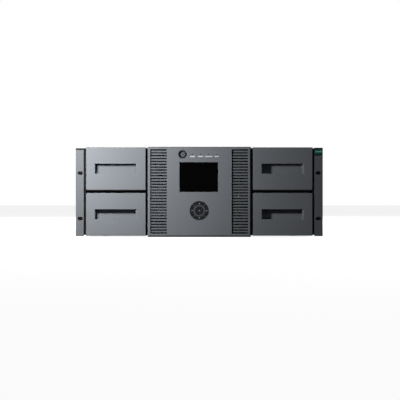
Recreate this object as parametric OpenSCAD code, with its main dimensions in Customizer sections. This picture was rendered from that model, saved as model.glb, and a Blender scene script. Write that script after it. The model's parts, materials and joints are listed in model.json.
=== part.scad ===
/* [Rack unit] */
// width across both rack ears
rack_w = 482.6; // [470:0.1:500]
// width of one rack ear beside the side panel
ear_w = 17.8; // [15:0.1:24]
// top of the centre bezel above the floor
bezel_top = 176.4; // [174:0.1:178]
// depth from bezel face to the rear panel
chassis_d = 740; // [660:1:820]
// reach of the rear handles behind the rear panel
handle_reach = 14; // [11:0.5:30]
// steel sheet thickness
sheet_t = 1.2; // [0.8:0.1:2]
// height of the rubber feet
foot_h = 3; // [2:0.5:5]
// radius of the rubber feet
foot_r = 8; // [5:0.5:12]
// distance of the front feet behind the bezel face
foot_back = 110; // [60:1:200]

/* [Rack ears] */
// slot centre inside the outer edge of the ear
ear_hole_in = 8.75; // [7:0.05:10]
// height between the two slots of one ear
ear_hole_z = 88.9; // [80:0.1:95]
// height of the middle of the slot pattern
ear_mid_z = 80.8; // [70:0.1:95]
// slot length along the shelf
ear_slot_l = 10.3; // [8:0.1:14]
// slot height
ear_slot_w = 6.8; // [5:0.1:8]
// thickness of the ear steel
ear_t = 2; // [1.5:0.1:4]
// thickness of the plastic ear cover
ear_cover_t = 3; // [2:0.1:5]
// length of the ear leg along the side panel
ear_leg = 47; // [20:1:80]
// height of the bare plate on the right ear
badge_h = 15.4; // [10:0.1:24]

/* [Front faces] */
// side gap between magazine face and side panel line
edge_gap = 2.4; // [1.5:0.1:4]
// wall thickness of the moulded fronts
wall = 3; // [2:0.1:4]
// depth of the centre bezel
bezel_d = 29.5; // [26:0.5:34]
// bevel along the bezel's lower edge
bezel_lip = 3.2; // [1:0.1:4]
// how far the magazine faces sit behind the bezel face
face_step = 5; // [2:0.5:7]
// side gap between bezel and magazine face
front_gap = 4; // [2:0.1:6]
// width of one magazine face
panel_w = 116.6; // [110:0.1:117]
// height of one magazine face
panel_h = 83.6; // [80:0.1:86]
// underside of the lower magazine face
panel_z = 2.8; // [1:0.1:4]
// finger pocket width
pocket_w = 82.7; // [60:0.1:95]
// finger pocket height
pocket_h = 19.5; // [15:0.1:25]
// finger pocket depth
pocket_d = 17.5; // [10:0.1:20]
// finger pocket underside above the face's lower edge
pocket_z = 32.1; // [25:0.1:40]
// flare at the right end of each finger pocket
pocket_flare = 2.8; // [0.8:0.1:4]

/* [Bezel fittings] */
// width of one louvred vent
vent_w = 32.2; // [26:0.1:34]
// height of one louvred vent
vent_h = 164.5; // [140:0.1:166]
// bezel strip outside each vent
vent_edge = 5.1; // [4.4:0.1:8]
// number of louvre blades in each vent
blades = 29; // [10:1:29]
// height of one blade's front edge
blade_h = 3.1; // [2:0.1:3.6]
// how far the blades sit behind the bezel face
blade_back = 3; // [2:0.1:8]
// depth of one blade
blade_d = 9; // [5:0.1:12]
// display window width
display_w = 75.2; // [60:0.1:80]
// display window height
display_h = 58; // [40:0.1:58]
// underside of the display window
display_z = 88.2; // [80:0.1:95]
// display distance left of the middle
display_left = 1.1; // [0:0.1:4]
// keypad centre height
keypad_z = 51.8; // [40:0.1:56]
// keypad radius
keypad_r = 18.8; // [15:0.1:22]
// power button distance left of the middle
power_x = 31.8; // [20:0.1:42]
// power button height
power_z = 161.4; // [157:0.1:163]
// power button radius
power_r = 4.4; // [3:0.1:6]
// width of the dished ring around the power button
power_ring = 3; // [1:0.1:4]
// spacing of the status lights
light_pitch = 15.8; // [10:0.1:18]
// position of the first status light
light_x = -13.4; // [-15:0.1:-10]

/* [Cartridges and magazines] */
// cartridge length, from the label end
cart_l = 105.4; // [100:0.1:108]
// cartridge width
cart_w = 102; // [98:0.1:103]
// cartridge height
cart_h = 21.5; // [18:0.1:22]
// height from one cartridge row to the next
row_pitch = 24; // [23.6:0.1:24.4]
// distance from one cartridge column to the next
col_pitch = 109; // [107:0.1:110]
// first column centre behind the bezel face
first_col = 116; // [115:0.5:117]
// height from the lower to the upper magazines
bay_pitch = 89.1; // [88.8:0.1:89.4]
// wall thickness of the trays
tray_t = 2; // [1.5:0.1:2.4]
// height of the tray runners
runner_h = 4.9; // [4.9:0.1:5.2]

/* [Robot] */
// guide rod radius
rod_r = 2.5; // [2:0.1:2.6]
// guide rod distance inside the magazine faces
rod_in = 6.5; // [6:0.1:7.5]
// lift post radius
post_r = 3; // [2:0.1:3.2]
// lift post distance from the middle, along
post_y = 61; // [60:0.5:62]
// radial running clearance of shafts in bores
run_gap = 0.03; // [0.01:0.01:0.1]
// clearance between moving bodies
move_gap = 0.3; // [0.3:0.05:0.6]
// half width of the cartridge carriage
picker_hw = 56; // [55.5:0.1:56.5]
// half length of the cartridge carriage
picker_hl = 57; // [56:0.1:57.5]

/* [Rear modules] */
// tape drive width
drive_w = 146; // [140:0.5:148]
// space behind each tape drive for its sockets
drive_room = 10; // [10:0.5:20]
// height of one drive bay
drive_bay = 41.6; // [41:0.1:42]
// power supply width
supply_w = 86; // [70:0.5:90]
// power supply height
supply_h = 40; // [36:0.5:44]
// free length between magazines and power supplies
supply_room = 51.5; // [20:0.5:120]
// fan rotor radius
fan_r = 15.5; // [12:0.1:16]

/* [Hidden] */
$fn = 40;
body_w = rack_w - 2 * ear_w;
overall_d = chassis_d + handle_reach;
front_y = -overall_d / 2;
rear_y = front_y + chassis_d;
frame_y = front_y + bezel_d;
frame_back = frame_y + sheet_t;
panel_y = front_y + face_step;
panel_back = frame_y - 0.5;
pocket_rim = 0.8;
side_in = body_w / 2 - sheet_t;
pan_top = foot_h + sheet_t;
cover_top = bezel_top - 1.4;
cover_under = cover_top - sheet_t;
bezel_z = 0.5;
bezel_side = 2.2;
panel_out = body_w / 2 - edge_gap;
panel_in = panel_out - panel_w;
bezel_w = 2 * (panel_in - front_gap);
vent_x = bezel_w / 2 - vent_edge - vent_w;
vent_z = bezel_z + 6.5;
blade_drop = 1.6;
tray_in = panel_in + 2.5;
tray_out = panel_out - 0.6;
tray_low = pan_top + 0.5;
tray_floor = tray_low + runner_h + tray_t;
tray_top = tray_floor + 2 * row_pitch + cart_h + 1.9;
tray_end = front_y + first_col + 3.5 * col_pitch + tray_t / 2;
ear_y = front_y + 11;
cover_in_l = 2;
cover_in_r = 1;
ear_x = rack_w / 2 - ear_hole_in;
light_z = power_z + 0.3;
power_dish = 3;
display_x0 = -display_w / 2 - display_left;
display_x1 = display_w / 2 - display_left;
rest_y = front_y + first_col + 1.5 * col_pitch;
travel = 1.5 * col_pitch;
lift = bay_pitch + 2 * row_pitch;
rod_z = pan_top + 3.8;
rod_x = panel_in - rod_in;
post_x = rod_x - 10;
base_z = pan_top + 0.6;
base_t = 2;
lift_z = base_z + base_t + move_gap;
turn_z = lift_z + 2 + move_gap;
seat_z = turn_z + 2;
bar_z = cover_under - 2.8;
plate_x = post_x - 28;
plate_y = post_y - 9;
screw_step = (rear_y - frame_y - 55) / 3;
bulk_y = front_y + first_col + 3 * col_pitch + 83;
bulk_back = bulk_y + sheet_t;
drive_y = bulk_back + 0.8;
drive_z = pan_top + 1.4;
drive_h = drive_bay - 1.2;
cage_x = drive_w / 2 + 6;
ports_y = rear_y + 1.5;
drive_back = rear_y - drive_room;
socket_x0 = -64;
socket_x1 = -10;
socket_z0 = 6;
socket_z1 = 34;
supply_x = side_in - supply_w - 11.3;
supply_l = rear_y - tray_end - supply_room;
supply_z = 8;
controller_w = 86;
controller_x = -side_in + 11.3;
board_l = supply_l + 10;
board_z = pan_top + 14.2;
board_t = 1.6;
key_out = keypad_r - 0.8;
key_in = keypad_r * 0.63;
key_mid = keypad_r * 0.44;
key_split = 0.9;
screen_back = front_y + wall + 6;
control_y = screen_back + 2;
control_t = 1.6;
control_x = vent_x - 11.75;
control_z0 = 26;
control_z1 = 169;
supply_step = supply_h + 8;
fan_bore = fan_r + 1;
rail_z = 48;
rail_rise = 66;
rail_step = (chassis_d - ear_leg - 90) / 3;
rail_hole_r = 2.6;
slot_step = 11;
side_vent_z = 124;
side_vent_h = 36;
black = [0.09, 0.09, 0.1];
graphite = [0.42, 0.43, 0.45];
dark = [0.16, 0.17, 0.18];
steel = [0.7, 0.71, 0.73];
grey = [0.5, 0.51, 0.53];

module box(x0, x1, y0, y1, z0, z1) {
    translate([x0, y0, z0]) cube([x1 - x0, y1 - y0, z1 - z0]);
}

module rod_along_y(r, x, z, y0, y1) {
    translate([x, y1, z]) rotate([90, 0, 0]) cylinder(r = r, h = y1 - y0);
}

module post(r, x, y, z0, z1) {
    translate([x, y, z0]) cylinder(r = r, h = z1 - z0);
}

module slab_y(y0, y1) {
    translate([0, y1, 0]) rotate([90, 0, 0]) linear_extrude(height = y1 - y0) children();
}

module bar_x(x0, x1) {
    translate([x0, 0, 0]) rotate([90, 0, 90]) linear_extrude(height = x1 - x0) children();
}

module on_side(side) {
    if (side < 0)
        mirror([1, 0, 0]) children();
    else
        children();
}

module both_sides() {
    on_side(1) children();
    on_side(-1) children();
}

module moulded_front(x0, x1, y0, y1, z0, z1, cx, cz, lip) {
    intersection() {
        translate([0, 0, z0])
            linear_extrude(height = z1 - z0)
                polygon([[x0, y1], [x0, y0 + cx], [x0 + cx, y0], [x1 - cx, y0], [x1, y0 + cx], [x1, y1]]);
        bar_x(x0 - 1, x1 + 1)
            polygon([[y1, z0], [y0 + lip, z0], [y0, z0 + lip], [y0, z1 - cz], [y0 + cz, z1], [y1, z1]]);
    }
}

// chassis

module base_pan() color(black) {
    box(-body_w / 2, body_w / 2, frame_y, rear_y, foot_h, pan_top);
}

module top_cover() color(black) {
    box(-body_w / 2, body_w / 2, frame_y, rear_y, cover_under, cover_top);
}

module side_panels() color(black) {
    both_sides()
        difference() {
            box(side_in, body_w / 2, ear_y + ear_t, rear_y, pan_top, cover_under);
            for (k = [0:3])
                for (z = [rail_z, rail_z + rail_rise])
                    translate([side_in - 1, ear_y + ear_leg + 30 + k * rail_step, z])
                        rotate([0, 90, 0]) cylinder(r = rail_hole_r, h = sheet_t + 2);
            for (k = [0:9])
                box(side_in - 1, body_w / 2 + 1, rear_y - 40 - k * slot_step, rear_y - 36 - k * slot_step,
                    side_vent_z, side_vent_z + side_vent_h);
        }
}

module front_frame() color(black) {
    difference() {
        box(-side_in, side_in, frame_y, frame_back, pan_top, cover_under);
        for (level = [0, 1])
            both_sides()
                box(tray_in - 0.8, tray_out + 0.8, frame_y - 1, frame_back + 1,
                    tray_low + level * bay_pitch - move_gap, tray_top + level * bay_pitch + 0.5);
        both_sides()
            box(vent_x + 4, vent_x + vent_w - 4, frame_y - 1, frame_back + 1, 14, cover_under - 8);
        box(-20, 20, frame_y - 1, frame_back + 1, 100, 130);
    }
}

module rear_panel() color(black) {
    difference() {
        box(-side_in, side_in, rear_y - sheet_t, rear_y, pan_top, cover_under);
        box(-cage_x + 3, cage_x - 3, rear_y - sheet_t - 1, rear_y + 1, drive_z, drive_z + 4 * drive_bay - 1);
        for (level = [0, 1])
            box(supply_x, supply_x + supply_w, rear_y - sheet_t - 1, rear_y + 1,
                supply_z + level * supply_step, supply_z + level * supply_step + supply_h);
        box(controller_x + 4, controller_x + controller_w - 4, rear_y - sheet_t - 1, rear_y + 1, 14, 62);
        for (row = [0:9])
            both_sides()
                box(supply_x + 4, supply_x + supply_w - 4, rear_y - sheet_t - 1, rear_y + 1,
                    112 + row * 5.5, 115 + row * 5.5);
        for (row = [0:4])
            box(controller_x + 4, controller_x + controller_w - 4, rear_y - sheet_t - 1, rear_y + 1,
                74 + row * 5.5, 77 + row * 5.5);
    }
}

module drive_cage() color(steel) {
    difference() {
        box(-tray_in + 1, tray_in - 1, bulk_y, bulk_back, pan_top, cover_under);
        for (bay = [0:3])
            box(-cart_w / 2 - 4, cart_w / 2 + 4, bulk_y - 1, bulk_back + 1,
                drive_z + bay * drive_bay + 7, drive_z + bay * drive_bay + 34);
        rod_along_y(rod_r + 0.5, -rod_x, rod_z, bulk_y - 1, bulk_back + 1);
    }
    both_sides() {
        box(cage_x, cage_x + sheet_t, bulk_back, rear_y - sheet_t, pan_top, cover_under);
        for (bay = [0:3])
            box(drive_w / 2 - 4, cage_x, bulk_back, rear_y - sheet_t,
                drive_z + bay * drive_bay - 0.8, drive_z + bay * drive_bay);
    }
}

module magazine_shelves() color(steel) {
    both_sides() {
        box(tray_in - 0.4, side_in, frame_back, tray_end + 6,
            pan_top + bay_pitch - sheet_t, pan_top + bay_pitch);
        for (k = [0:4])
            box(tray_in - 2.4, tray_in - 0.4, front_y + first_col + (k - 0.5) * col_pitch - 0.5,
                front_y + first_col + (k - 0.5) * col_pitch + 0.5, pan_top, cover_under);
    }
}

module magazine_locks() color(dark) {
    for (level = [0, 1])
        both_sides() {
            box(tray_in - 10.8, tray_in - 3, frame_back, frame_back + 20,
                60 + level * bay_pitch, 74 + level * bay_pitch);
            box(tray_in - 3, tray_in - 0.8, frame_back + 8, frame_back + 13,
                64 + level * bay_pitch, 70 + level * bay_pitch);
        }
}

// rack ears

module ear_slots(y0, y1) {
    for (dz = [-0.5, 0.5]) {
        z = ear_mid_z + dz * ear_hole_z;
        half = (ear_slot_l - ear_slot_w) / 2;
        box(ear_x - half, ear_x + half, y0, y1, z - ear_slot_w / 2, z + ear_slot_w / 2);
        rod_along_y(ear_slot_w / 2, ear_x - half, z, y0, y1);
        rod_along_y(ear_slot_w / 2, ear_x + half, z, y0, y1);
    }
}

module rack_ears() color(black) {
    both_sides() {
        difference() {
            box(body_w / 2, rack_w / 2, ear_y, ear_y + ear_t, pan_top, cover_under);
            ear_slots(ear_y - 1, ear_y + ear_t + 1);
        }
        box(body_w / 2, body_w / 2 + 1.5, ear_y + ear_t, ear_y + ear_t + ear_leg, 10, cover_under - 6);
        for (z = [30, 88, 146])
            translate([body_w / 2 + 1.5, ear_y + ear_t + ear_leg * 0.7, z])
                rotate([0, 90, 0]) cylinder(r = 3.2, h = 1.2);
    }
}

module ear_cover(x0, z1) {
    difference() {
        moulded_front(x0, rack_w / 2, ear_y - ear_cover_t, ear_y, 2, z1, 0.8, 0.8, 0.8);
        ear_slots(ear_y - ear_cover_t - 1, ear_y + 1);
    }
}

module ear_covers() color(graphite) {
    on_side(-1) ear_cover(body_w / 2 + cover_in_l, cover_under - 3.2);
    on_side(1) ear_cover(body_w / 2 + cover_in_r, cover_top - badge_h - 0.2);
}

module badge_plate() color(dark) {
    moulded_front(body_w / 2 + cover_in_r, rack_w / 2, ear_y - ear_cover_t - 0.4, ear_y,
        cover_top - badge_h, cover_top - 0.2, 0.4, 0.4, 0.4);
}

// centre bezel

module front_bezel() color(graphite) {
    half = bezel_w / 2;
    difference() {
        union() {
            difference() {
                moulded_front(-half, half, front_y, frame_y, bezel_z, bezel_top,
                    bezel_side, bezel_side, bezel_lip);
                box(-half + wall, half - wall, front_y + wall, frame_y + 1, bezel_z + wall, bezel_top - wall);
            }
            rod_along_y(power_r + power_ring + 2.6, -power_x, power_z, front_y + 1, front_y + 8);
        }
        both_sides()
            box(vent_x, vent_x + vent_w, front_y - 1, front_y + wall + 1, vent_z, vent_z + vent_h);
        box(display_x0, display_x1, front_y - 1, front_y + wall + 1, display_z, display_z + display_h);
        rod_along_y(keypad_r, 0, keypad_z, front_y - 1, front_y + wall + 1);
        rod_along_y(power_r + 0.3, -power_x, power_z, front_y - 1, front_y + 9);
        translate([-power_x, front_y + power_dish, power_z])
            rotate([90, 0, 0])
                cylinder(r1 = power_r + power_ring, r2 = power_r + power_ring + 1.8, h = power_dish);
        for (k = [0:3])
            rod_along_y(1.2, light_x + k * light_pitch, light_z, front_y - 1, front_y + wall + 1);
    }
}

module vent_grilles() color(dark) {
    grille_x0 = vent_x - 2.2;
    grille_x1 = bezel_w / 2 - wall - 0.2;
    z0 = vent_z;
    z1 = z0 + vent_h;
    y0 = front_y + wall;
    y1 = front_y + blade_back + blade_d;
    pitch = vent_h / (blades + 0.5);
    both_sides() {
        difference() {
            box(grille_x0, grille_x1, y0, y1, bezel_z + wall + 0.2, bezel_top - wall - 0.2);
            box(vent_x, vent_x + vent_w, y0 - 1, y1 + 1, z0, z1);
        }
        for (k = [0:blades - 1]) {
            zb = z0 + pitch * (k + 0.75) - blade_h / 2;
            bar_x(vent_x, vent_x + vent_w)
                polygon([[front_y + blade_back, zb], [front_y + blade_back, zb + blade_h],
                    [y1, zb + blade_h - blade_drop - 0.6], [y1, zb - blade_drop]]);
        }
    }
}

module display_window() color([0.02, 0.02, 0.02]) {
    box(display_x0, display_x1, front_y + 0.3, front_y + wall, display_z, display_z + display_h);
}

module display_module() color([0.1, 0.3, 0.18]) {
    box(display_x0 - 3, display_x1 + 4, front_y + wall, screen_back,
        display_z - 4, display_z + display_h + 3);
    difference() {
        box(-control_x, control_x, control_y, control_y + control_t, control_z0, control_z1);
        box(-20, 20, control_y - 1, control_y + control_t + 1, keypad_z + 8, keypad_z + 18);
    }
    for (x = [-30, 10])
        box(x, x + 20, control_y + control_t, control_y + 4, display_z + 16, display_z + 36);
    for (x = [-1, 1]) {
        box(x * 24 - 3, x * 24 + 3, screen_back, control_y, display_z + 6, display_z + display_h - 6);
        for (z = [control_z0 + 8, control_z1 - 4])
            rod_along_y(2.5, x * (control_x - 6), z, control_y + control_t, frame_y);
    }
}

module keypad_surround() color(grey) {
    difference() {
        union() {
            rod_along_y(keypad_r, 0, keypad_z, front_y + 0.4, front_y + wall);
            rod_along_y(keypad_r + 3.5, 0, keypad_z, front_y + wall, front_y + wall + 3);
        }
        slab_y(front_y - 1, front_y + wall + 1.5)
            translate([0, keypad_z])
                key_ring_area(key_out + move_gap, key_in - move_gap, key_split - move_gap);
        rod_along_y(key_mid + move_gap, 0, keypad_z, front_y - 1, front_y + wall + 1.5);
    }
    for (x = [-1, 1])
        rod_along_y(2, x * (keypad_r + 1.2), keypad_z, front_y + wall + 3, front_y + wall + 8);
}

module key_ring_area(r1, r0, gap) {
    difference() {
        circle(r = r1);
        circle(r = r0);
        rotate(45) square([3 * r1, 2 * gap], center = true);
        rotate(-45) square([3 * r1, 2 * gap], center = true);
    }
}

module arrow_key(turn) color(dark) {
    slab_y(front_y + 0.2, front_y + wall + 0.2)
        translate([0, keypad_z])
            intersection() {
                key_ring_area(key_out, key_in, key_split);
                rotate(turn) polygon([[0, 0], [keypad_r * 2, keypad_r * 2], [-keypad_r * 2, keypad_r * 2]]);
            }
}

module key_centre() color(dark) {
    rod_along_y(key_mid, 0, keypad_z, front_y + 0.2, front_y + wall + 0.2);
}

module power_button() color(dark) {
    rod_along_y(power_r, -power_x, power_z, front_y + 1.2, front_y + 8.6);
}

module light_lenses() color([0.3, 0.35, 0.32]) {
    for (k = [0:3])
        rod_along_y(1.2, light_x + k * light_pitch, light_z, front_y + 0.4, front_y + wall + 8);
}

module rubber_feet() color(black) {
    for (y = [front_y + foot_back, rear_y - foot_back])
        for (x = [-1, 1])
            post(foot_r, x * (side_in - 32), y, 0, foot_h);
}

module cover_screws() color(steel) {
    for (k = [0:3])
        for (x = [-1, 1])
            post(2.8, x * (side_in - 10), frame_y + 25 + k * screw_step, cover_top, cover_top + 0.9);
}

// magazines

module magazine_front(side, level) color(graphite) {
    z0 = panel_z + level * bay_pitch;
    mid = (panel_in + panel_out) / 2;
    px = pocket_w / 2;
    flare_a = side > 0 ? pocket_rim : pocket_flare;
    flare_b = side > 0 ? pocket_flare : pocket_rim;
    on_side(side)
        difference() {
            moulded_front(panel_in, panel_out, panel_y, panel_back, z0, z0 + panel_h, 0.8, 1.2, 1.2);
            difference() {
                box(panel_in + wall, panel_out - wall, panel_y + wall, panel_back + 1,
                    z0 + wall, z0 + panel_h - wall);
                box(mid - px - 2, mid + px + 2, panel_y, panel_y + pocket_d + 2,
                    z0 + pocket_z - 2, z0 + pocket_z + pocket_h + 2);
                for (dx = [-1, 1])
                    box(mid + dx * (px - 8) - 2, mid + dx * (px - 8) + 2, panel_y, panel_back,
                        z0, z0 + panel_h);
            }
            translate([mid, panel_y, z0 + pocket_z])
                linear_extrude(height = pocket_h)
                    polygon([[-px - 1, -1], [-px, 0], [flare_a - px, flare_a], [flare_a - px, pocket_d],
                        [px - flare_b, pocket_d], [px - flare_b, flare_b], [px, 0], [px + 1, -1]]);
        }
}

module magazine_tray(side, level) color(dark) {
    lz = level * bay_pitch;
    on_side(side) {
        box(tray_out - tray_t, tray_out, panel_back, tray_end, lz + tray_low, lz + tray_top);
        box(tray_in, tray_out - tray_t, panel_back, tray_end, lz + tray_floor - tray_t, lz + tray_floor);
        box(tray_in, tray_in + tray_t, panel_back, tray_end, lz + tray_low, lz + tray_floor - tray_t);
        for (row = [1, 2])
            box(tray_in, tray_out - tray_t, tray_front(), tray_end,
                lz + tray_floor + row * row_pitch - 1.4, lz + tray_floor + row * row_pitch);
        for (k = [0:4])
            for (row = [0:2])
                box(tray_in, tray_out - tray_t, tray_front() + k * col_pitch,
                    tray_front() + k * col_pitch + tray_t,
                    lz + tray_floor + row * row_pitch,
                    row == 2 ? lz + tray_top : lz + tray_floor + (row + 1) * row_pitch - 1.4);
    }
}

function tray_front() = front_y + first_col - col_pitch / 2 - tray_t / 2;

module cartridge() {
    difference() {
        cube([cart_l, cart_w, cart_h]);
        translate([-1, 12, 3]) cube([1.6, cart_w - 24, cart_h - 6]);
        translate([6, -1, 6]) cube([6, 4, 9]);
        translate([6, cart_w - 3, 6]) cube([6, 4, 9]);
    }
}

module magazine_cartridges(side, level, first) color([0.12, 0.12, 0.13]) {
    on_side(side)
        for (k = [first:3])
            for (row = [0:2])
                translate([tray_in + 1.2, front_y + first_col + k * col_pitch - cart_w / 2,
                    level * bay_pitch + tray_floor + row * row_pitch])
                    cartridge();
}

// robot

module guide_rod() color(steel) {
    rod_along_y(rod_r, rod_x, rod_z, frame_back, bulk_y);
}

module rod_supports() color(dark) {
    for (y = [frame_back, bulk_y - 2.7])
        both_sides()
            difference() {
                box(rod_x - 4, rod_x + 5, y, y + 2.7, pan_top, rod_z + 3.6);
                rod_along_y(rod_r, rod_x, rod_z, y - 1, y + 4);
            }
}

module travel_screw() color(steel) {
    rod_along_y(rod_r - run_gap, -rod_x, rod_z, frame_back + move_gap, bulk_back + 14);
}

module travel_motor() color(dark) {
    difference() {
        union() {
            box(-rod_x - 8, -rod_x + 11, bulk_back, bulk_back + 22, pan_top, rod_z + 26);
            rod_along_y(9, -rod_x + 1.5, rod_z + 14, bulk_back + 22, bulk_back + 62);
        }
        rod_along_y(rod_r, -rod_x, rod_z, bulk_back - 1, bulk_back + 16);
    }
}

module at_robot() {
    translate([0, rest_y, 0]) children();
}

module robot_base() color(steel) {
    at_robot()
        difference() {
            union() {
                box(-rod_x + 8, rod_x - 8, -post_y - 5, post_y + 5, base_z, base_z + base_t);
                box(post_x - 8, post_x + 7, -post_y - 21, -post_y, base_z, base_z + base_t);
                both_sides()
                    for (y = [-40, 40])
                        box(rod_x - 8, rod_x + 5, y - 10, y + 10, rod_z - 3.3, rod_z + 3.3);
            }
            both_sides()
                rod_along_y(rod_r + run_gap, rod_x, rod_z, -60, 60);
            for (x = [-24, 24])
                post(14, x, 0, base_z - 1, base_z + base_t + 1);
        }
}

module lift_motor() color(dark) {
    at_robot()
        difference() {
            union() {
                box(post_x - 8, post_x + 7, -post_y - 21, -post_y + 6, base_z + base_t, lift_z + 2.2);
                post(6, post_x, -post_y - 14, lift_z + 2.2, lift_z + 42);
            }
            post(post_r + run_gap, post_x, -post_y, base_z + base_t - 1, lift_z + 4);
        }
}

module lift_frame() color(steel) {
    at_robot()
        difference() {
            union() {
                for (p = [[post_x, post_y], [-post_x, post_y], [-post_x, -post_y]])
                    post(post_r, p[0], p[1], base_z + base_t, bar_z);
                for (dy = [-1, 1])
                    box(-post_x - 4, post_x + 4, dy * post_y - 4, dy * post_y + 4, bar_z, bar_z + 2);
                for (dx = [-1, 1])
                    box(dx * post_x - 4, dx * post_x + 4, -post_y + 4, post_y - 4, bar_z, bar_z + 2);
            }
            post(post_r + run_gap, post_x, -post_y, bar_z - 1, bar_z + 3);
        }
}

module lift_screw() color(steel) {
    at_robot()
        post(post_r, post_x, -post_y, base_z + base_t + move_gap, bar_z + 1.6);
}

module lift_platform() color(steel) {
    at_robot()
        difference() {
            union() {
                box(-plate_x, plate_x, -plate_y, plate_y, lift_z, lift_z + 2);
                for (dx = [-1, 1])
                    for (dy = [-1, 1])
                        lift_corner(dx, dy);
            }
            post(35, 0, 0, lift_z - 1, lift_z + 3);
            for (dx = [-1, 1])
                for (dy = [-1, 1])
                    post(post_r + run_gap, dx * post_x, dy * post_y, lift_z - 1, lift_z + 20);
        }
}

module lift_corner(dx, dy) {
    mirror([dx < 0 ? 1 : 0, 0, 0])
        mirror([0, dy < 0 ? 1 : 0, 0]) {
            box(40, post_x - 8.5, post_y - 9, post_y + 5, lift_z, lift_z + 2);
            box(post_x - 16, post_x - 8.5, post_y - 6, post_y + 5, lift_z, lift_z + 7);
            box(post_x - 16, post_x - 3, post_y - 5, post_y + 5, lift_z + 2.5, lift_z + 7);
            post(6, post_x, post_y, lift_z + 2.5, lift_z + 13);
        }
}

module swing_motor() color(dark) {
    at_robot()
        difference() {
            post(35, 0, 0, lift_z, lift_z + 2);
            post(8 + run_gap, 0, 0, lift_z - 1, lift_z + 3);
        }
}

module picker() color(grey) {
    at_robot() {
        post(8, 0, 0, lift_z + 0.2, turn_z);
        box(-picker_hw, picker_hw, -picker_hl, picker_hl, turn_z, seat_z);
        both_sides()
            box(picker_hw - 2, picker_hw, -picker_hl, picker_hl, seat_z, seat_z + cart_h + 0.4);
        box(-picker_hw + 2, picker_hw - 2, -picker_hl, -picker_hl + 1.6, seat_z, seat_z + cart_h + 0.4);
    }
}

module gripper() color(dark) {
    z0 = seat_z + move_gap;
    at_robot() {
        box(-picker_hw + 2.6, picker_hw - 2.6, -picker_hl + 2, -picker_hl + 3.6, z0, z0 + 18);
        both_sides() {
            box(picker_hw - 4.2, picker_hw - 2.6, -picker_hl + 3.6, picker_hl - 4, z0 + 7, z0 + 13);
            box(picker_hw - 6.6, picker_hw - 4.2, picker_hl - 6.4, picker_hl - 4, z0 + 7, z0 + 13);
        }
    }
}

// rear modules

module drive_ports(z0, y0, y1) {
    for (dz = [9, 25])
        box(socket_x0 + 3, socket_x0 + 25, y0, y1, z0 + dz, z0 + dz + 6);
    box(socket_x1 - 17, socket_x1 - 3.5, y0, y1, z0 + 15, z0 + 26);
}

module tape_drives() color(dark) {
    for (bay = [0, 1]) {
        z0 = drive_z + bay * drive_bay;
        difference() {
            box(-drive_w / 2, drive_w / 2, drive_y, drive_back, z0 + 0.4, z0 + drive_h);
            box(-cart_w / 2 - 1.2, cart_w / 2 + 1.2, drive_y - 1, drive_y + 112,
                z0 + drive_h / 2 - 11.3, z0 + drive_h / 2 + 11.7);
        }
    }
}

module drive_sockets() color(dark) {
    for (bay = [0, 1]) {
        z0 = drive_z + bay * drive_bay;
        difference() {
            box(socket_x0, socket_x1, drive_back, ports_y, z0 + socket_z0, z0 + socket_z1);
            drive_ports(z0, ports_y - 11, ports_y + 1);
        }
    }
}

module drive_sleds() color(steel) {
    for (bay = [0, 1]) {
        z0 = drive_z + bay * drive_bay;
        box(-drive_w / 2 - 1, drive_w / 2 + 1, drive_y, rear_y, z0, z0 + 0.4);
        both_sides()
            box(drive_w / 2, drive_w / 2 + 1, drive_y, rear_y, z0 + 0.4, z0 + drive_h);
        difference() {
            box(-cage_x, cage_x, rear_y, ports_y, z0, z0 + drive_bay - 0.6);
            box(socket_x0, socket_x1, rear_y - 1, ports_y + 1, z0 + socket_z0, z0 + socket_z1);
            for (x = [0:4])
                box(6 + x * 9, 11 + x * 9, rear_y - 1, ports_y + 1, z0 + 8, z0 + 33);
        }
        rear_handle(60, z0 + 6, z0 + 34);
        for (x = [-1, 1])
            rod_along_y(3.4, x * (cage_x - 5), z0 + drive_bay / 2, ports_y, ports_y + 7);
    }
}

module rear_handle(x, z0, z1) {
    reach = rear_y + handle_reach;
    box(x - 3, x + 3, ports_y, reach, z0, z0 + 4);
    box(x - 3, x + 3, ports_y, reach, z1 - 4, z1);
    box(x - 3, x + 3, reach - 4, reach, z0 + 4, z1 - 4);
}

module blank_covers() color(black) {
    for (bay = [2, 3]) {
        z0 = drive_z + bay * drive_bay;
        box(-cage_x, cage_x, rear_y, ports_y, z0, z0 + drive_bay - 0.6);
        for (x = [-1, 1])
            rod_along_y(3.4, x * (cage_x - 5), z0 + drive_bay / 2, ports_y, ports_y + 7);
    }
}

module power_supplies() color(steel) {
    for (level = [0, 1]) {
        z0 = supply_z + level * supply_step;
        x1 = supply_x + supply_w;
        difference() {
            union() {
                box(supply_x, x1, rear_y - supply_l, rear_y, z0, z0 + supply_h);
                box(supply_x - 4, x1 + 4, rear_y, ports_y, z0 - 2, z0 + supply_h + 2);
            }
            box(supply_x + 1.5, x1 - 1.5, rear_y - supply_l + 1.5, rear_y - 1, z0 + 1.5, z0 + supply_h - 1.5);
            rod_along_y(fan_bore, x1 - 22, z0 + supply_h / 2, rear_y - 2, ports_y + 1);
            box(supply_x + 4, supply_x + 32, rear_y - 2, ports_y + 1, z0 + 10, z0 + 31);
            for (row = [0:3])
                box(supply_x + 10, x1 - 10, rear_y - supply_l - 1, rear_y - supply_l + 3,
                    z0 + 8 + row * 6, z0 + 11 + row * 6);
        }
        fan_motor(x1 - 22, z0 + supply_h / 2);
        rear_handle(x1 - 44, z0 + 6, z0 + 34);
    }
}

module fan_motor(x, z) {
    box(x - fan_bore, x + fan_bore, rear_y - 15, rear_y - 13.5, z - 2, z + 2);
    for (dx = [-1, 1])
        box(x + dx * fan_bore - 1, x + dx * fan_bore + 1, rear_y - 15, rear_y - 1, z - 2, z + 2);
}

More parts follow.
